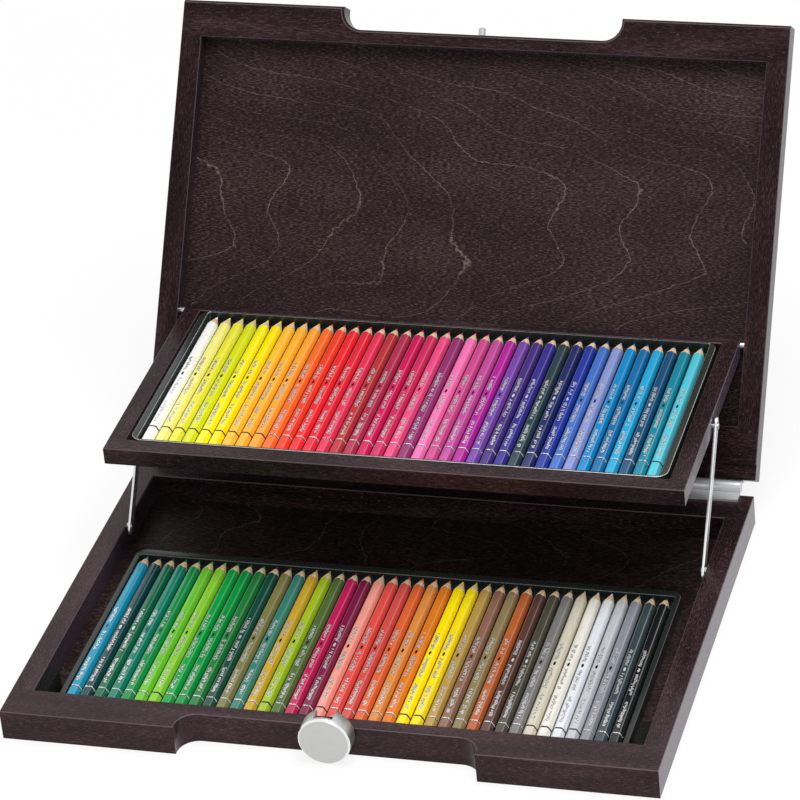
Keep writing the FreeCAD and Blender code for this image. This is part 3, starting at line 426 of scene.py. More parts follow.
# Pale colour of the rim's painted highlight, dimmed as painted shade for the lower insert
PLASTIC_SHADED_RIM_HIGHLIGHT = "6A6E6C"
PEEL_SIZE = 1.6 * MM
PEEL_RELIEF = 0.05
PEEL_DEPTH = 0.05 * MM
DRAWN_SIZE = 35.0 * MM
PLASTIC_SMOOTH = 0.24
PLASTIC_ROUGH = 0.32
HIGHLIGHT_PATCH_SIZE = 3.0 * MM
EDGE_ROUGHNESS = 0.3
DULL_GLOSS_INDEX = 1.5
RIM_ROUNDING = 0.6 * MM
LEVEL_WITHIN = 0.01 * MM
HIGHLIGHT_LEAST_UP = 0.3
HIGHLIGHT_MOST_UP = 0.98

plastic, surface, place = new_material("vacuum_formed_polystyrene")
# Orange peel
peel = add(plastic, "TexNoise", None, {"Vector": place.outputs["Object"], "Scale": 1 / PEEL_SIZE,
                                       "Detail": 2.0})
# Thin and thick stretches of the drawn sheet
drawn = add(plastic, "TexNoise", None, {"Vector": place.outputs["Object"],
                                        "Scale": 1 / DRAWN_SIZE})
sheet_tone = add(plastic, "Mix", {"data_type": "RGBA"},
                 {0: drawn.outputs["Fac"], 6: colour(PLASTIC_DARK), 7: colour(PLASTIC_LIGHT)})
sheet_rough = add(plastic, "MapRange", None, {"Value": peel.outputs["Fac"],
                                              "To Min": PLASTIC_SMOOTH,
                                              "To Max": PLASTIC_ROUGH})
peel_relief = add(plastic, "Bump", None, {"Height": peel.outputs["Fac"], "Strength": PEEL_RELIEF,
                                          "Distance": PEEL_DEPTH})
plastic.node_tree.links.new(sheet_tone.outputs[2], surface.inputs["Base Color"])
plastic.node_tree.links.new(sheet_rough.outputs[0], surface.inputs["Roughness"])
plastic.node_tree.links.new(peel_relief.outputs[0], surface.inputs["Normal"])


def rim_highlight_edge(name, pale, gloss_index):
    """The plastic's edge, painted pale in patches as a highlight; a high index makes it gleam."""
    edge, surface, place = new_material(name)
    # Patches where the painted highlight is paler
    highlight_patches = add(edge, "TexNoise", None, {"Vector": place.outputs["Object"],
                                        "Scale": 1 / HIGHLIGHT_PATCH_SIZE})
    rim_highlight_tone = add(edge, "Mix", {"data_type": "RGBA"},
                    {0: highlight_patches.outputs["Fac"], 6: colour(PLASTIC_DARK), 7: colour(pale)})
    edge.node_tree.links.new(rim_highlight_tone.outputs[2], surface.inputs["Base Color"])
    surface.inputs["Roughness"].default_value = EDGE_ROUGHNESS
    surface.inputs["IOR"].default_value = gloss_index
    return edge


def pencil_holder(name, node, body, edge):
    """An insert with its rim rolled over, inside and outside, and painted pale there as a
    highlight.
    """
    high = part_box(node)[1]
    shape = softened(node, RIM_ROUNDING, segments=4, chosen=lambda rim: all(
        abs(corner.co.z - high.z) < LEVEL_WITHIN for corner in rim.verts))
    # Rim faces that slope upwards take the painted highlight
    for face in shape.faces:
        on_rim = face.calc_center_median().z > high.z - RIM_ROUNDING
        if on_rim and HIGHLIGHT_LEAST_UP < face.normal.z < HIGHLIGHT_MOST_UP:
            face.material_index = 1
    made = piece(name, shape, [plastic, edge], body, [node])
    smooth_over(made, SMOOTH_UNDER)


# The lower insert lies in shade, so its edge takes a dimmer copy of the painted highlight
shaded_rim_highlight = rim_highlight_edge("polystyrene_rim_shaded_highlight", PLASTIC_SHADED_RIM_HIGHLIGHT, DULL_GLOSS_INDEX)
pencil_holder("lower_pencil_holder", "lower_insert", "case", shaded_rim_highlight)


# Lower row: forty hexagonal pencils of incense cedar, lacquered, sharpened by a cutter.
# The cutter leaves a scalloped edge on the lacquer, pale wood and a coloured point; a silver
# ring and short foil dashes are stamped on the top facet.

PENCIL_LENGTH = 161.6 * MM
PENCIL_RADIUS = 4.45 * MM
PENCIL_APOTHEM = PENCIL_RADIUS * math.cos(math.pi / 6)
PENCIL_EDGE = 0.75 * MM
PENCIL_SMOOTH_UNDER = 40
FACET_CUTS = 5
BUTT_CHAMFER = 0.4 * MM
CONE_LENGTH = 14.0 * MM
CONE_START = PENCIL_LENGTH - CONE_LENGTH
LEAD_RADIUS = 1.6 * MM
LEAD_SIDES = 24
LEAD_BLUNT = 0.35 * MM
LEAD_TIP_SHARE = 0.6
LEAD_HIDDEN = 3.0 * MM
WOOD_END_RADIUS = 1.75 * MM
CONE_SLOPE = (PENCIL_RADIUS - LEAD_BLUNT) / CONE_LENGTH
WOOD_END = CONE_START + (PENCIL_RADIUS - WOOD_END_RADIUS) / CONE_SLOPE
OFF_FACET = 20.0

# Places on the top facet, in mm across it and along it from the butt
LOWER_STAMP_SHIFT = -2.2
RING_AT = 11.6
RING_WIDTH = 1.5
RING_LIGHT_SHIFT = RING_WIDTH / 5
RING_LIGHT_HALF = RING_WIDTH * 0.3
MARK_BLOCKS = ((17.5, 44.5), (51.5, 73.5), (82.0, 99.5))
MARK_PITCH = 1.35
MARK_SLANT = 0.35
MARK_SHIFT = 0.5
MARK_LEAST_HEIGHT = 0.65
MARK_MOST_HEIGHT = 1.3
MARK_AND_SHADOW_WIDE = 0.85
MARK_BRIGHT = 0.58
MARK_LEFT_OUT = 0.1
DOT_AT = 78.0
DOT_HALF_LENGTH = 2.1
DOT_HALF_WIDTH = 0.8
# Where the painted highlight lies along the two upper ridges, and its strength
RIDGE_AT = 2.25
RIDGE_HALF_WIDTH = 0.3
RIDGE_HIGHLIGHT = 0.1

# White of the foil, also used for the painted highlight on the ridges
FOIL_AND_HIGHLIGHT_WHITE = "FAFAFA"
# Dark of the print, also the painted shadow along the foil strokes and the dark flashes of the
# creases
DARK_FOIL_AND_SHADOW = "2A2A2E"
FOIL_METALLIC = 0.4
CREASE_SIZE = 0.9 * MM
CREASE_DARK_UNDER = 0.38
CREASE_LIGHT_OVER = 0.48
DARK_LACQUER = 0.1
PALE_LACQUER = 0.42
FLOW_SIZE = (1.2 * MM, 9.0 * MM, 1.2 * MM)
FLOW_DARK = 0.82
FLOW_LIGHT = 1.12
LACQUER_SMOOTH = 0.16
LACQUER_ROUGH = 0.28
CEDAR = "E0C6A6"
CEDAR_DARK = "B8936C"
CEDAR_STOPS = ((0.35, CEDAR_DARK), (0.55, CEDAR))
CEDAR_GRAIN_SIZE = (0.5 * MM, 2.5 * MM, 0.5 * MM)
CEDAR_ROUGHNESS = 0.65
GRIT_SIZE = 0.6 * MM
GRIT_DARK = 0.7
GRIT_LIGHT = 1.15
LEAD_ROUGHNESS = 0.5

LOWER_COLOURS = {
    "teal": ["1292B2", "063F44", "086446", "0C7E66"],
    "green": ["0B8C48", "6BC02E", "86CA2C", "0C9E42", "0A9340"],
    "dark_green": ["207A38", "104B3C", "7F7A48"],
    "olive": ["357F70", "C8A22C", "A2BE20", "506C36"],
    "plum": ["C02058", "7C1C44"],
    "coral": ["F09C8C", "E25048", "D2504A", "DE6430"],
    "gold": ["DC8C40", "DE7A1E", "FDE400", "F9E010", "B69448"],
    "brown": ["8C6450", "8C7C54", "B86030", "5A3C34"],
    "grey": ["4C483C", "7A7876", "CFC8B4", "E8E4DA", "E0E4EA", "BFC2C8", "8A8E98"],
    "black": ["3A484E", "1A1B1D"],
}

lacquer, surface, place = new_material("pencil_lacquer")
own_colour = add(lacquer, "Attribute", {"attribute_name": "pencil_colour"})
number = add(lacquer, "Attribute", {"attribute_name": "pencil_number"})
across_along = add(lacquer, "SeparateXYZ", None, {"Vector": place.outputs["UV"]})
across = across_along.outputs[0]
along = across_along.outputs[1]
# Slanted foil strokes, each of its own height and shift, with a painted shadow along the edge of
# each
slanted = add(lacquer, "Math", {"operation": "MULTIPLY_ADD"},
              {0: across, 1: MARK_SLANT, 2: along})
step = add(lacquer, "Math", {"operation": "DIVIDE"}, {0: slanted.outputs[0], 1: MARK_PITCH})
cell = add(lacquer, "Math", {"operation": "FLOOR"}, {0: step.outputs[0]})
cell_point = add(lacquer, "CombineXYZ", None, {"X": cell.outputs[0],
                                               "Y": number.outputs["Fac"]})
chance = add(lacquer, "TexWhiteNoise", {"noise_dimensions": "2D"},
             {"Vector": cell_point.outputs[0]})
chances = add(lacquer, "SeparateColor", None, {"Color": chance.outputs["Color"]})
in_cell = add(lacquer, "Math", {"operation": "FRACT"}, {0: step.outputs[0]})
# Each stroke is bright at first, then painted dark as its shadow
stroke_and_shadow = add(lacquer, "Math", {"operation": "LESS_THAN"}, {0: in_cell.outputs[0], 1: MARK_AND_SHADOW_WIDE})
bright_part = add(lacquer, "Math", {"operation": "LESS_THAN"},
                  {0: in_cell.outputs[0], 1: MARK_BRIGHT})
shift = add(lacquer, "MapRange", None, {"Value": chances.outputs[0], "To Min": -MARK_SHIFT,
                                        "To Max": MARK_SHIFT})
shifted = add(lacquer, "Math", {"operation": "ADD"}, {0: across, 1: shift.outputs[0]})
height = add(lacquer, "Math", {"operation": "ABSOLUTE"}, {0: shifted.outputs[0]})
reach = add(lacquer, "MapRange", None, {"Value": chances.outputs[1],
                                        "To Min": MARK_LEAST_HEIGHT,
                                        "To Max": MARK_MOST_HEIGHT})
low_enough = add(lacquer, "Math", {"operation": "LESS_THAN"},
                 {0: height.outputs[0], 1: reach.outputs[0]})
stroke = add(lacquer, "Math", {"operation": "MULTIPLY"},
             {0: stroke_and_shadow.outputs[0], 1: low_enough.outputs[0]})
kept = add(lacquer, "Math", {"operation": "GREATER_THAN"},
           {0: chances.outputs[2], 1: MARK_LEFT_OUT})
marks = add(lacquer, "Math", {"operation": "MULTIPLY"}, {0: stroke.outputs[0], 1: kept.outputs[0]})
in_blocks = 0.0
for first, last in MARK_BLOCKS:
    centre = (first + last) / 2
    in_block = add(lacquer, "Math", {"operation": "COMPARE"},
                   {0: along, 1: centre, 2: last - centre})
    either = add(lacquer, "Math", {"operation": "MAXIMUM"},
                 {0: in_block.outputs[0], 1: in_blocks})
    in_blocks = either.outputs[0]
printed = add(lacquer, "Math", {"operation": "MULTIPLY"}, {0: marks.outputs[0], 1: in_blocks})
mark_light = add(lacquer, "Math", {"operation": "MULTIPLY"},
                 {0: bright_part.outputs[0], 1: printed.outputs[0]})
# A plain oval between the marks, dark, but bright on dark lacquer
dot_side = add(lacquer, "Math", {"operation": "DIVIDE"}, {0: across, 1: DOT_HALF_WIDTH})
dot_along = add(lacquer, "MapRange", {"clamp": False},
                {"Value": along, "From Min": DOT_AT, "From Max": DOT_AT + DOT_HALF_LENGTH})
dot_place = add(lacquer, "CombineXYZ", None, {"X": dot_side.outputs[0],
                                              "Y": dot_along.outputs[0]})
dot_reach = add(lacquer, "VectorMath", {"operation": "LENGTH"}, {0: dot_place.outputs[0]})
dot = add(lacquer, "Math", {"operation": "LESS_THAN"}, {0: dot_reach.outputs["Value"], 1: 1.0})
own_tone = add(lacquer, "RGBToBW", None, {"Color": own_colour.outputs["Color"]})
on_dark = add(lacquer, "Math", {"operation": "LESS_THAN"},
              {0: own_tone.outputs[0], 1: DARK_LACQUER})
dot_light = add(lacquer, "Math", {"operation": "MULTIPLY"},
                {0: dot.outputs[0], 1: on_dark.outputs[0]})
# The ring, silver with a dark edge, and all dark on pale lacquer
ring = add(lacquer, "Math", {"operation": "COMPARE"},
           {0: along, 1: RING_AT, 2: RING_WIDTH / 2})
ring_silver = add(lacquer, "Math", {"operation": "COMPARE"},
                  {0: along, 1: RING_AT + RING_LIGHT_SHIFT, 2: RING_LIGHT_HALF})
not_pale = add(lacquer, "Math", {"operation": "LESS_THAN"},
               {0: own_tone.outputs[0], 1: PALE_LACQUER})
ring_light = add(lacquer, "Math", {"operation": "MULTIPLY"},
                 {0: ring_silver.outputs[0], 1: not_pale.outputs[0]})
most_light = add(lacquer, "Math", {"operation": "MAXIMUM"},
                 {0: mark_light.outputs[0], 1: ring_light.outputs[0]})
all_light = add(lacquer, "Math", {"operation": "MAXIMUM"},
                {0: most_light.outputs[0], 1: dot_light.outputs[0]})
foil = add(lacquer, "Math", {"operation": "MAXIMUM"}, {0: printed.outputs[0], 1: ring.outputs[0]})
foil_or_dot = add(lacquer, "Math", {"operation": "MAXIMUM"},
                  {0: foil.outputs[0], 1: dot.outputs[0]})
# Creases of the foil flash light or dark, painted as bright and dark patches of the foil
creases = add(lacquer, "TexNoise", None, {"Vector": place.outputs["Object"],
                                          "Scale": 1 / CREASE_SIZE})
painted_crease_flash = add(lacquer, "MapRange", None, {"Value": creases.outputs["Fac"],
                                              "From Min": CREASE_DARK_UNDER,
                                              "From Max": CREASE_LIGHT_OVER})
foil_light = add(lacquer, "Math", {"operation": "MULTIPLY"},
                 {0: all_light.outputs[0], 1: painted_crease_flash.outputs[0]})
foil_tone = add(lacquer, "Mix", {"data_type": "RGBA"},
                {0: foil_light.outputs[0], 6: colour(DARK_FOIL_AND_SHADOW), 7: colour(FOIL_AND_HIGHLIGHT_WHITE)})
foil_metal = add(lacquer, "Math", {"operation": "MULTIPLY"},
                 {0: foil_light.outputs[0], 1: FOIL_METALLIC})
# Faint flow of the dipped lacquer, and a painted highlight along the two upper ridges
flow_along = add(lacquer, "Mapping", {"vector_type": "TEXTURE"},
                 {"Vector": place.outputs["Object"], "Scale": FLOW_SIZE})
flow = add(lacquer, "TexNoise", None, {"Vector": flow_along.outputs[0], "Scale": 1.0})
flow_tone = add(lacquer, "MapRange", None, {"Value": flow.outputs["Fac"], "To Min": FLOW_DARK,
                                            "To Max": FLOW_LIGHT})
pencil_rough = add(lacquer, "MapRange", None, {"Value": flow.outputs["Fac"],
                                               "To Min": LACQUER_SMOOTH,
                                               "To Max": LACQUER_ROUGH})
lacquer_tone = add(lacquer, "VectorMath", {"operation": "SCALE"},
                   {0: own_colour.outputs["Color"], "Scale": flow_tone.outputs[0]})
ridge_side = add(lacquer, "Math", {"operation": "ABSOLUTE"}, {0: across})
ridge = add(lacquer, "Math", {"operation": "COMPARE"},
            {0: ridge_side.outputs[0], 1: RIDGE_AT, 2: RIDGE_HALF_WIDTH})
ridge_highlight = add(lacquer, "Math", {"operation": "MULTIPLY"}, {0: ridge.outputs[0], 1: RIDGE_HIGHLIGHT})
ridge_highlighted_tone = add(lacquer, "Mix", {"data_type": "RGBA"},
                  {0: ridge_highlight.outputs[0], 6: lacquer_tone.outputs[0], 7: colour(FOIL_AND_HIGHLIGHT_WHITE)})
pencil_tone = add(lacquer, "Mix", {"data_type": "RGBA"},
                  {0: foil_or_dot.outputs[0], 6: ridge_highlighted_tone.outputs[2], 7: foil_tone.outputs[2]})
lacquer.node_tree.links.new(pencil_tone.outputs[2], surface.inputs["Base Color"])
lacquer.node_tree.links.new(foil_metal.outputs[0], surface.inputs["Metallic"])
lacquer.node_tree.links.new(pencil_rough.outputs[0], surface.inputs["Roughness"])

cedar, surface, place = new_material("cut_cedar")
# Grain of the cut cone
cedar_along = add(cedar, "Mapping", {"vector_type": "TEXTURE"},
                  {"Vector": place.outputs["Object"], "Scale": CEDAR_GRAIN_SIZE})
cedar_grain = add(cedar, "TexNoise", None, {"Vector": cedar_along.outputs[0], "Scale": 1.0,
                                            "Detail": 2.0})
cedar_tone = add(cedar, "ValToRGB", {"stops": CEDAR_STOPS}, {"Fac": cedar_grain.outputs["Fac"]})
cedar.node_tree.links.new(cedar_tone.outputs[0], surface.inputs["Base Color"])
surface.inputs["Roughness"].default_value = CEDAR_ROUGHNESS

wax_lead, surface, place = new_material("wax_lead")
lead_colour = add(wax_lead, "Attribute", {"attribute_name": "pencil_colour"})
# Grit of the pigment; the real one is finer and would not show
grit = add(wax_lead, "TexNoise", None, {"Vector": place.outputs["Object"],
                                        "Scale": 1 / GRIT_SIZE, "Detail": 2.0})
grit_tone = add(wax_lead, "MapRange", None, {"Value": grit.outputs["Fac"], "To Min": GRIT_DARK,
                                             "To Max": GRIT_LIGHT})
lead_tone = add(wax_lead, "VectorMath", {"operation": "SCALE"},
                {0: lead_colour.outputs["Color"], "Scale": grit_tone.outputs[0]})
wax_lead.node_tree.links.new(lead_tone.outputs[0], surface.inputs["Base Color"])
surface.inputs["Roughness"].default_value = LEAD_ROUGHNESS


def ring_moved(shape, edges, move):
    """Extrudes an outline by one ring and moves each new corner."""
    made = bmesh.ops.extrude_edge_only(shape, edges=edges)["geom"]
    for corner in made:
        if isinstance(corner, bmesh.types.BMVert):
            corner.co = move(corner.co)
    faces = [g for g in made if isinstance(g, bmesh.types.BMFace)]
    return [g for g in made if isinstance(g, bmesh.types.BMEdge) and
            len(g.link_faces) == 1], faces


def pencil_end(shape, place, segments, radius):
    """A capped outline in an upright plane, with flats above and below if it has six sides."""
    upright = Matrix.Translation(place) @ Matrix.Rotation(math.pi / 2, 4, "X")
    turned = upright @ Matrix.Rotation(math.pi / 6, 4, "Z")
    return bmesh.ops.create_circle(shape, cap_ends=True, segments=segments, radius=radius,
                                   matrix=turned)["verts"]


def scaled_about(co, axis, factor, y):
    """A point drawn in towards an axis along Y, and set at a new Y."""
    return Vector((axis.x + (co.x - axis.x) * factor, y, axis.z + (co.z - axis.z) * factor))


def from_axis(co, axis):
    """Distance of a point from an axis along Y."""
    return math.hypot(co.x - axis.x, co.z - axis.z)


def tinted(shape, faces, shade, number, axis, stamp_shift):
    """Writes a pencil's colour, its number and the lay of its top facet on its faces."""
    colours = shape.loops.layers.float_color["pencil_colour"]
    numbers = shape.faces.layers.float["pencil_number"]
    lay = shape.loops.layers.uv["pencil_lay"]
    for face in faces:
        face[numbers] = number
        below = face.calc_center_median().z < axis.z
        for corner in face.loops:
            co = corner.vert.co
            corner[colours] = shade
            side = OFF_FACET if below else (co.x - axis.x) / MM
            corner[lay].uv = (side, (co.y - axis.y) / MM - stamp_shift)


def lacquered_pencil(shape, axis, shade, number, stamp_shift):
    """One sharpened pencil, butt first, with its axis starting at a place."""
    before = set(shape.faces)
    corners = pencil_end(shape, axis, 6, PENCIL_RADIUS)
    bmesh.ops.bevel(shape, geom=corners, offset=PENCIL_EDGE, offset_type="OFFSET",
                    affect="VERTICES", segments=3, profile=0.5, clamp_overlap=True, material=-1)
    butt = [f for f in shape.faces if f not in before][0]
    flats = [e for e in butt.edges if e.calc_length() > PENCIL_RADIUS / 2]
    bmesh.ops.subdivide_edges(shape, edges=flats, cuts=FACET_CUTS)
    drawn_in = 1 - BUTT_CHAMFER / PENCIL_RADIUS
    for corner in butt.verts:
        corner.co = scaled_about(corner.co, axis, drawn_in, axis.y)
    edges, _ = ring_moved(shape, list(butt.edges), lambda co: scaled_about(
        co, axis, 1 / drawn_in, axis.y + BUTT_CHAMFER))
    # The lacquer ends where the cutter's cone comes out through each facet
    edges, _ = ring_moved(shape, edges, lambda co: Vector((
        co.x, axis.y + CONE_START + (PENCIL_RADIUS - from_axis(co, axis)) / CONE_SLOPE, co.z)))
    for edge in edges:
        edge.smooth = False
    edges, cone = ring_moved(shape, edges, lambda co: scaled_about(
        co, axis, WOOD_END_RADIUS / from_axis(co, axis), axis.y + WOOD_END))
    end = bmesh.ops.contextual_create(shape, geom=edges)["faces"]
    for face in cone + end:
        face.material_index = 1
    tinted(shape, [f for f in shape.faces if f not in before], shade, number, axis, stamp_shift)


def sharpened_lead(shape, axis, shade, number, stamp_shift):
    """The point of one lead, let a little way into the wood."""
    before = set(shape.faces)
    foot = Vector((axis.x, axis.y + WOOD_END - LEAD_HIDDEN, axis.z))
    pencil_end(shape, foot, LEAD_SIDES, LEAD_RADIUS)
    outline = [f for f in shape.faces if f not in before][0]
    edges, _ = ring_moved(shape, list(outline.edges), lambda co: scaled_about(
        co, axis, 1, axis.y + WOOD_END))
    tip_y = axis.y + PENCIL_LENGTH
    edges, _ = ring_moved(shape, edges, lambda co: scaled_about(
        co, axis, LEAD_BLUNT / LEAD_RADIUS, tip_y - LEAD_BLUNT))
    edges, _ = ring_moved(shape, edges, lambda co: scaled_about(
        co, axis, LEAD_TIP_SHARE, tip_y))
    bmesh.ops.contextual_create(shape, geom=edges)
    tinted(shape, [f for f in shape.faces if f not in before], shade, number, axis, stamp_shift)


def row_shape():
    """An empty shape that can carry the pencils' colours, numbers and lay."""
    shape = bmesh.new()
    shape.loops.layers.float_color.new("pencil_colour")
    shape.faces.layers.float.new("pencil_number")
    shape.loops.layers.uv.new("pencil_lay")
    return shape


def pencil_row(row, body, families, stamp_shift):
    """Lays a row of pencils, family by family, and its leads. The shift moves the stamping."""
    leads = row_shape()
    number = 0
    for family, codes in families.items():
        node = "pencils_%s_%s" % (row, family)
        low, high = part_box(node)
        pitch = (high.x - low.x - PENCIL_RADIUS * 2) / (len(codes) - 1)
        pencils = row_shape()
        for place_in_family, code in enumerate(codes):
            axis = Vector((low.x + PENCIL_RADIUS + pitch * place_in_family, low.y,
                           low.z + PENCIL_APOTHEM))
            lacquered_pencil(pencils, axis, colour(code), number, stamp_shift)
            sharpened_lead(leads, axis, colour(code), number, stamp_shift)
            number = number + 1
        bmesh.ops.recalc_face_normals(pencils, faces=pencils.faces)
        made = piece("%s_%s_pencils" % (row, family), pencils, [lacquer, cedar], body,
                     [node])
        smooth_over(made, PENCIL_SMOOTH_UNDER)
    bmesh.ops.recalc_face_normals(leads, faces=leads.faces)
    made = piece(row + "_pencil_points", leads, [wax_lead], body,
                 ["pencil_leads_" + row])
    smooth_over(made, PENCIL_SMOOTH_UNDER)


pencil_row("lower", "case", LOWER_COLOURS, LOWER_STAMP_SHIFT)


# Lower pins of the links: steel rivets in the base's side rails, with a collar and a thin head.
# Turned and tumbled, so they shine softly.

dress(bright_steel, "link_lower_pins")


# Lid: a second frame of the same stained rails, hinged at the rear and laid back on its stop.
# Its rails lean with it, so the grain of the side rails follows the slope.

LID_OPEN = 126.3
LID_LEAN = math.radians(180.0 - LID_OPEN)


def up_the_slope(lean):
    """The turn of a grain that runs up a part which leans about X."""
    return (Matrix.Rotation(lean, 3, "X") @ Matrix.Rotation(math.pi / 2, 3, "Z")).to_euler()


across_the_lid = (LID_LEAN, 0.0, 0.0)
lid_rim = rim_height("lid_front_rail", across_the_lid)
# The lid's rails are darkened as painted shade, the side rails more
lid_rail_wood = stained_wood("stained_hardwood_lid", across_the_lid, (0.4, 0.3, 0.2), lid_rim,
                             painted_shade_scale=0.72, gloss=0.12)
lid_side_wood = stained_wood("stained_hardwood_lid_sides", up_the_slope(LID_LEAN),
                             (0.15, 0.35, 0.25), lid_rim, painted_shade_scale=0.66, gloss=0.1)
lid_board = stained_board("stained_board_lid", across_the_lid, shift=(0.5, 0.2, 0.4),
                          tip=(-0.12, 0.245, 0.16))
dress(lid_rail_wood, "lid_front_rail", "lid_rear_rail")
dress(lid_side_wood, "lid_left_rail", "lid_right_rail")
dress(lid_board, "lid_panel")
dress(beech, "lid_dowels")


# Catch pin and tray pivots: steel pins in the lid, one for the turn catch and two for the tray.
# Plain turned steel.

dress(bright_steel, "catch_pin", "tray_pivot_pins")


# Tray: four slim stained rails with a thin floor in grooves, doweled at the corners.
# It hangs between the lid and the links and stays level.

tray_rim = rim_height("tray_front_rail", ALONG_X)
# The tray's rails are darkened as painted shade, the side rails more
tray_wood = stained_wood("stained_hardwood_tray", ALONG_X, (0.6, 0.1, 0.3), tray_rim,
                         painted_shade_scale=0.85, gloss=0.18)
tray_side_wood = stained_wood("stained_hardwood_tray_sides", ALONG_Y, (0.2, 0.6, 0.1), tray_rim,
                              painted_shade_scale=0.76, gloss=0.14)
tray_board = stained_board("stained_board_tray", ALONG_X, shift=(0.7, 0.5, 0.2),
                           tip=(-0.05, 0.15, 0.1))
dress(tray_wood, "tray_front_rail", "tray_rear_rail")
dress(tray_side_wood, "tray_left_rail", "tray_right_rail")
dress(tray_board, "tray_floor")
dress(beech, "tray_dowels")
dress(bright_steel, "link_upper_pins")


# Upper insert: vacuum formed from the same sheet as the lower one, dropped into the tray.
# Its rim stands a little above the rails, and its edge is painted pale as a highlight and given a
# high index to gleam.

# Pale colour of the painted highlight on the upper insert's rim
PLASTIC_RIM_HIGHLIGHT = "C8CCC8"
RIM_HIGHLIGHT_GLOSS_INDEX = 3.0

rim_highlight = rim_highlight_edge("polystyrene_rim_highlight", PLASTIC_RIM_HIGHLIGHT, RIM_HIGHLIGHT_GLOSS_INDEX)
pencil_holder("upper_pencil_holder", "upper_insert", "tray", rim_highlight)


# Upper row: thirty-eight pencils from white through yellow, red and violet to turquoise.
# Made as the lower ones, and stamped a little further from the butt.

UPPER_STAMP_SHIFT = 4.2
UPPER_COLOURS = {
    "ivory": ["F6F6F4", "F5EE84"],
    "yellow": ["ECE63C", "D9E012", "F5EC14", "FDE600"],
    "orange": ["FCC232", "FBB530", "F9A634", "F4702A", "EE432A"],
    "red": ["EE2A34", "E3293F", "E5365A", "B9343C", "B03050"],
    "crimson": ["CE1A5C", "CC2C60", "EB4C84", "92306E"],
    "pink": ["F474B4", "CC4A8C", "C04C9A", "B4249A"],
    "violet": ["7846A6", "46307C", "38308E", "2A404A", "202C64"],
    "blue": ["24389C", "4270C2", "8894CC", "0C88C4", "0A6CA4"],
    "turquoise": ["1CA4D4", "124C74", "0A8298", "4FC2D4"],
}

pencil_row("upper", "tray", UPPER_COLOURS, UPPER_STAMP_SHIFT)


# Links: two flat bars of bright steel with round ends, riveted to the base and to the tray.
# Blanked, deburred and brushed along their length.

LINK_DEBURR = 0.2 * MM
LINK_OFF_LID = 1.96
LINK_LEAN = math.radians(180.0 - LID_OPEN - LINK_OFF_LID)
LINK_STEEL = "ECEDEE"
LINK_STEEL_DULL = "D4D6D8"

link_steel = brushed_metal("brushed_link_steel", up_the_slope(LINK_LEAN), LINK_STEEL,
                           LINK_STEEL_DULL, smooth=0.25, rough=0.4)
for side in ("left", "right"):
    bar = piece("steel_link_" + side, softened("link_" + side, LINK_DEBURR, segments=2),
                [link_steel], "link_" + side, ["link_" + side])
    smooth_over(bar, SMOOTH_UNDER)


# Turn catch: a cup turned from aluminium with a slot in its rim, on a spindle with a nut.
# Its face is satin; the bevel round the face is cut last with a diamond, and shines.
# The spindle runs in a turned brass bush in the front rail.

KNOB_EDGE = 0.3 * MM
KNOB_TONE = "CFCFCD"
KNOB_DULL = "C0C0BE"
CUT_TONE = "F6F6F6"
CUT_DULL = "E6E7E8"
CUT_DEPTH = 1.15 * MM
CUT_OFF_FACE = 0.95
BRASS = "B8924A"
BRASS_DULL = "8F6E34"

knob_metal = brushed_metal("turned_aluminium", ALONG_X, KNOB_TONE, KNOB_DULL, smooth=0.3,
                           rough=0.42)
cut_metal = brushed_metal("diamond_cut_aluminium", ALONG_X, CUT_TONE, CUT_DULL, smooth=0.1,
                          rough=0.2)
brass = brushed_metal("turned_brass", ALONG_Y, BRASS, BRASS_DULL, smooth=0.25, rough=0.4)
knob_shape = softened("catch_knob", KNOB_EDGE, segments=2)
cut_ends_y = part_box("catch_knob")[0].y + CUT_DEPTH
for face in knob_shape.faces:
    if face.calc_center_median().y < cut_ends_y and abs(face.normal.y) < CUT_OFF_FACE:
        face.material_index = 1
knob = piece("turn_knob", knob_shape, [knob_metal, cut_metal], "catch_knob",
             ["catch_knob"])
smooth_over(knob, SMOOTH_UNDER)
dress(bright_steel, "knob_spindle", "knob_nut")
dress(brass, "knob_bush")


# Floor: a wide sheet of white paper under the case.
# It looks mostly lit by itself, so that it stays white and still takes the shadow.

FLOOR_HALF = 4.0
PAPER = "FAFAFA"
PAPER_MOTTLE = "F6F6F6"
PAPER_MOTTLE_SIZE = 40.0 * MM
PAPER_ROUGHNESS = 0.9
PAPER_GLOSS = 0.1
FLOOR_OWN_LIGHT = 0.85
SHADOW_KEPT_WITHIN = 0.35
ALL_WHITE_BEYOND = 1.3
WHITE = (1.0, 1.0, 1.0, 1.0)


def looked_at(material):
    """One where the eye sees the surface, straight, in a gleam or through glass."""
    rays = add(material, "LightPath")
    seen = add(material, "Math", {"operation": "MAXIMUM"},
               {0: rays.outputs["Is Camera Ray"], 1: rays.outputs["Is Glossy Ray"]})
    seen_or_through = add(material, "Math", {"operation": "MAXIMUM"},
                          {0: seen.outputs[0], 1: rays.outputs["Is Transmission Ray"]})
    return seen_or_through.outputs[0]


paper, surface, place = new_material("white_paper")
mottle = add(paper, "TexNoise", None, {"Vector": place.outputs["Object"],
                                       "Scale": 1 / PAPER_MOTTLE_SIZE})
paper_tone = add(paper, "Mix", {"data_type": "RGBA"},
                 {0: mottle.outputs["Fac"], 6: colour(PAPER), 7: colour(PAPER_MOTTLE)})
paper.node_tree.links.new(paper_tone.outputs[2], surface.inputs["Base Color"])
surface.inputs["Roughness"].default_value = PAPER_ROUGHNESS
surface.inputs["Specular IOR Level"].default_value = PAPER_GLOSS
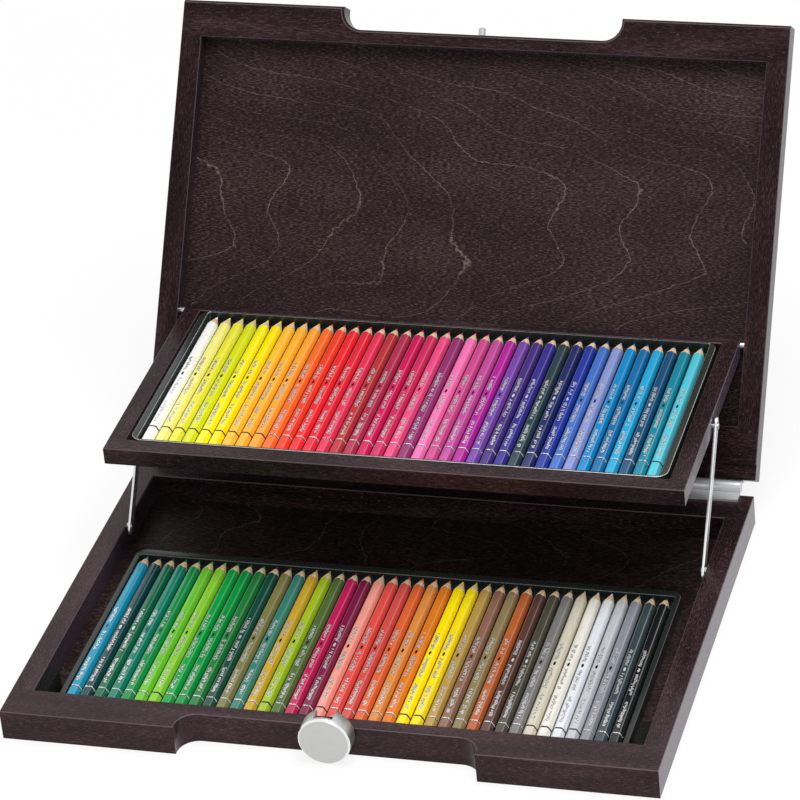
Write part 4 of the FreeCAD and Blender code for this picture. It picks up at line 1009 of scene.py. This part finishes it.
# The sheet fades to plain white away from the case, so that its far edge isn't seen
from_case = add(paper, "VectorMath", {"operation": "LENGTH"}, {0: place.outputs["Object"]})
fade = add(paper, "MapRange", None, {"Value": from_case.outputs["Value"],
                                     "From Min": SHADOW_KEPT_WITHIN,
                                     "From Max": ALL_WHITE_BEYOND,
                                     "To Min": FLOOR_OWN_LIGHT, "To Max": 1.0})
own_share = add(paper, "Math", {"operation": "MULTIPLY"},
                {0: looked_at(paper), 1: fade.outputs[0]})
own_light = add(paper, "Emission", None, {"Color": WHITE, "Strength": 1.0})
lit = add(paper, "MixShader", None, {0: own_share.outputs[0], 1: surface.outputs[0],
                                     2: own_light.outputs[0]})
paper_end = paper.node_tree.nodes["Material Output"]
paper.node_tree.links.new(lit.outputs[0], paper_end.inputs["Surface"])
sheet = bmesh.new()
bmesh.ops.create_grid(sheet, x_segments=1, y_segments=1, size=FLOOR_HALF)
floor_mesh = bpy.data.meshes.new("paper_floor")
sheet.to_mesh(floor_mesh)
sheet.free()
floor_mesh.materials.append(paper)
floor = bpy.data.objects.new("paper_floor", floor_mesh)
bpy.context.collection.objects.link(floor)


# World: a white room all round.
# The eye and the reflections see it white; it lights the case at a plainer level.

WORLD_LEVEL = 0.5

world = bpy.data.worlds.new("white_room")
world.use_nodes = True
bpy.context.scene.world = world
walls = world.node_tree.nodes["Background"]
level = add(world, "MapRange", None, {"Value": looked_at(world), "To Min": WORLD_LEVEL,
                                      "To Max": 1.0})
walls.inputs["Color"].default_value = WHITE
world.node_tree.links.new(level.outputs[0], walls.inputs["Strength"])


# Lamps: a large soft box above and a little to the right, and a weak one in front.
# Both aim at the middle of the case.

MIDDLE = (0.0, 0.02, 0.06)
BOX_WIDTH = 1.0
OVERHEAD_PLACE = (0.3, -0.05, 1.75)
OVERHEAD_POWER = 25.0
FRONT_PLACE = (0.5, -1.9, 1.2)
FRONT_POWER = 3.0


def soft_box(name, place, power):
    """A square area lamp that looks at the middle of the case."""
    lamp = bpy.data.lights.new(name, "AREA")
    lamp.size = BOX_WIDTH
    lamp.energy = power
    made = bpy.data.objects.new(name, lamp)
    made.location = place
    made.rotation_euler = (Vector(MIDDLE) - Vector(place)).to_track_quat("-Z", "Y").to_euler()
    bpy.context.collection.objects.link(made)


soft_box("overhead_soft_box", OVERHEAD_PLACE, OVERHEAD_POWER)
soft_box("front_soft_box", FRONT_PLACE, FRONT_POWER)


# Camera: where the photograph was taken from, a long lens slightly tilted.
# Its place is given along its own line of sight, from the floor under the middle of the case.

VIEW_AZIMUTH = math.radians(17.977)
VIEW_ELEVATION = math.radians(31.688)
VIEW_ROLL = math.radians(-5.766)
VIEW_DISTANCE = 2.78983
VIEW_RIGHT = 0.00744
VIEW_UP = 0.14769
LENS_MM = 193.525
SENSOR_MM = 36.0
VIEW_NEAR = 0.05
VIEW_FAR = 50.0

view = bpy.data.cameras.new("view")
view.lens = LENS_MM
view.sensor_width = SENSOR_MM
view.clip_start = VIEW_NEAR
view.clip_end = VIEW_FAR
camera = bpy.data.objects.new("view", view)
turn = (Matrix.Rotation(VIEW_AZIMUTH, 4, "Z")
        @ Matrix.Rotation(math.pi / 2 - VIEW_ELEVATION, 4, "X")
        @ Matrix.Rotation(VIEW_ROLL, 4, "Z"))
camera.matrix_world = turn @ Matrix.Translation((VIEW_RIGHT, VIEW_UP, VIEW_DISTANCE))
bpy.context.collection.objects.link(camera)
bpy.context.scene.camera = camera
bpy.context.scene.view_settings.view_transform = "Standard"
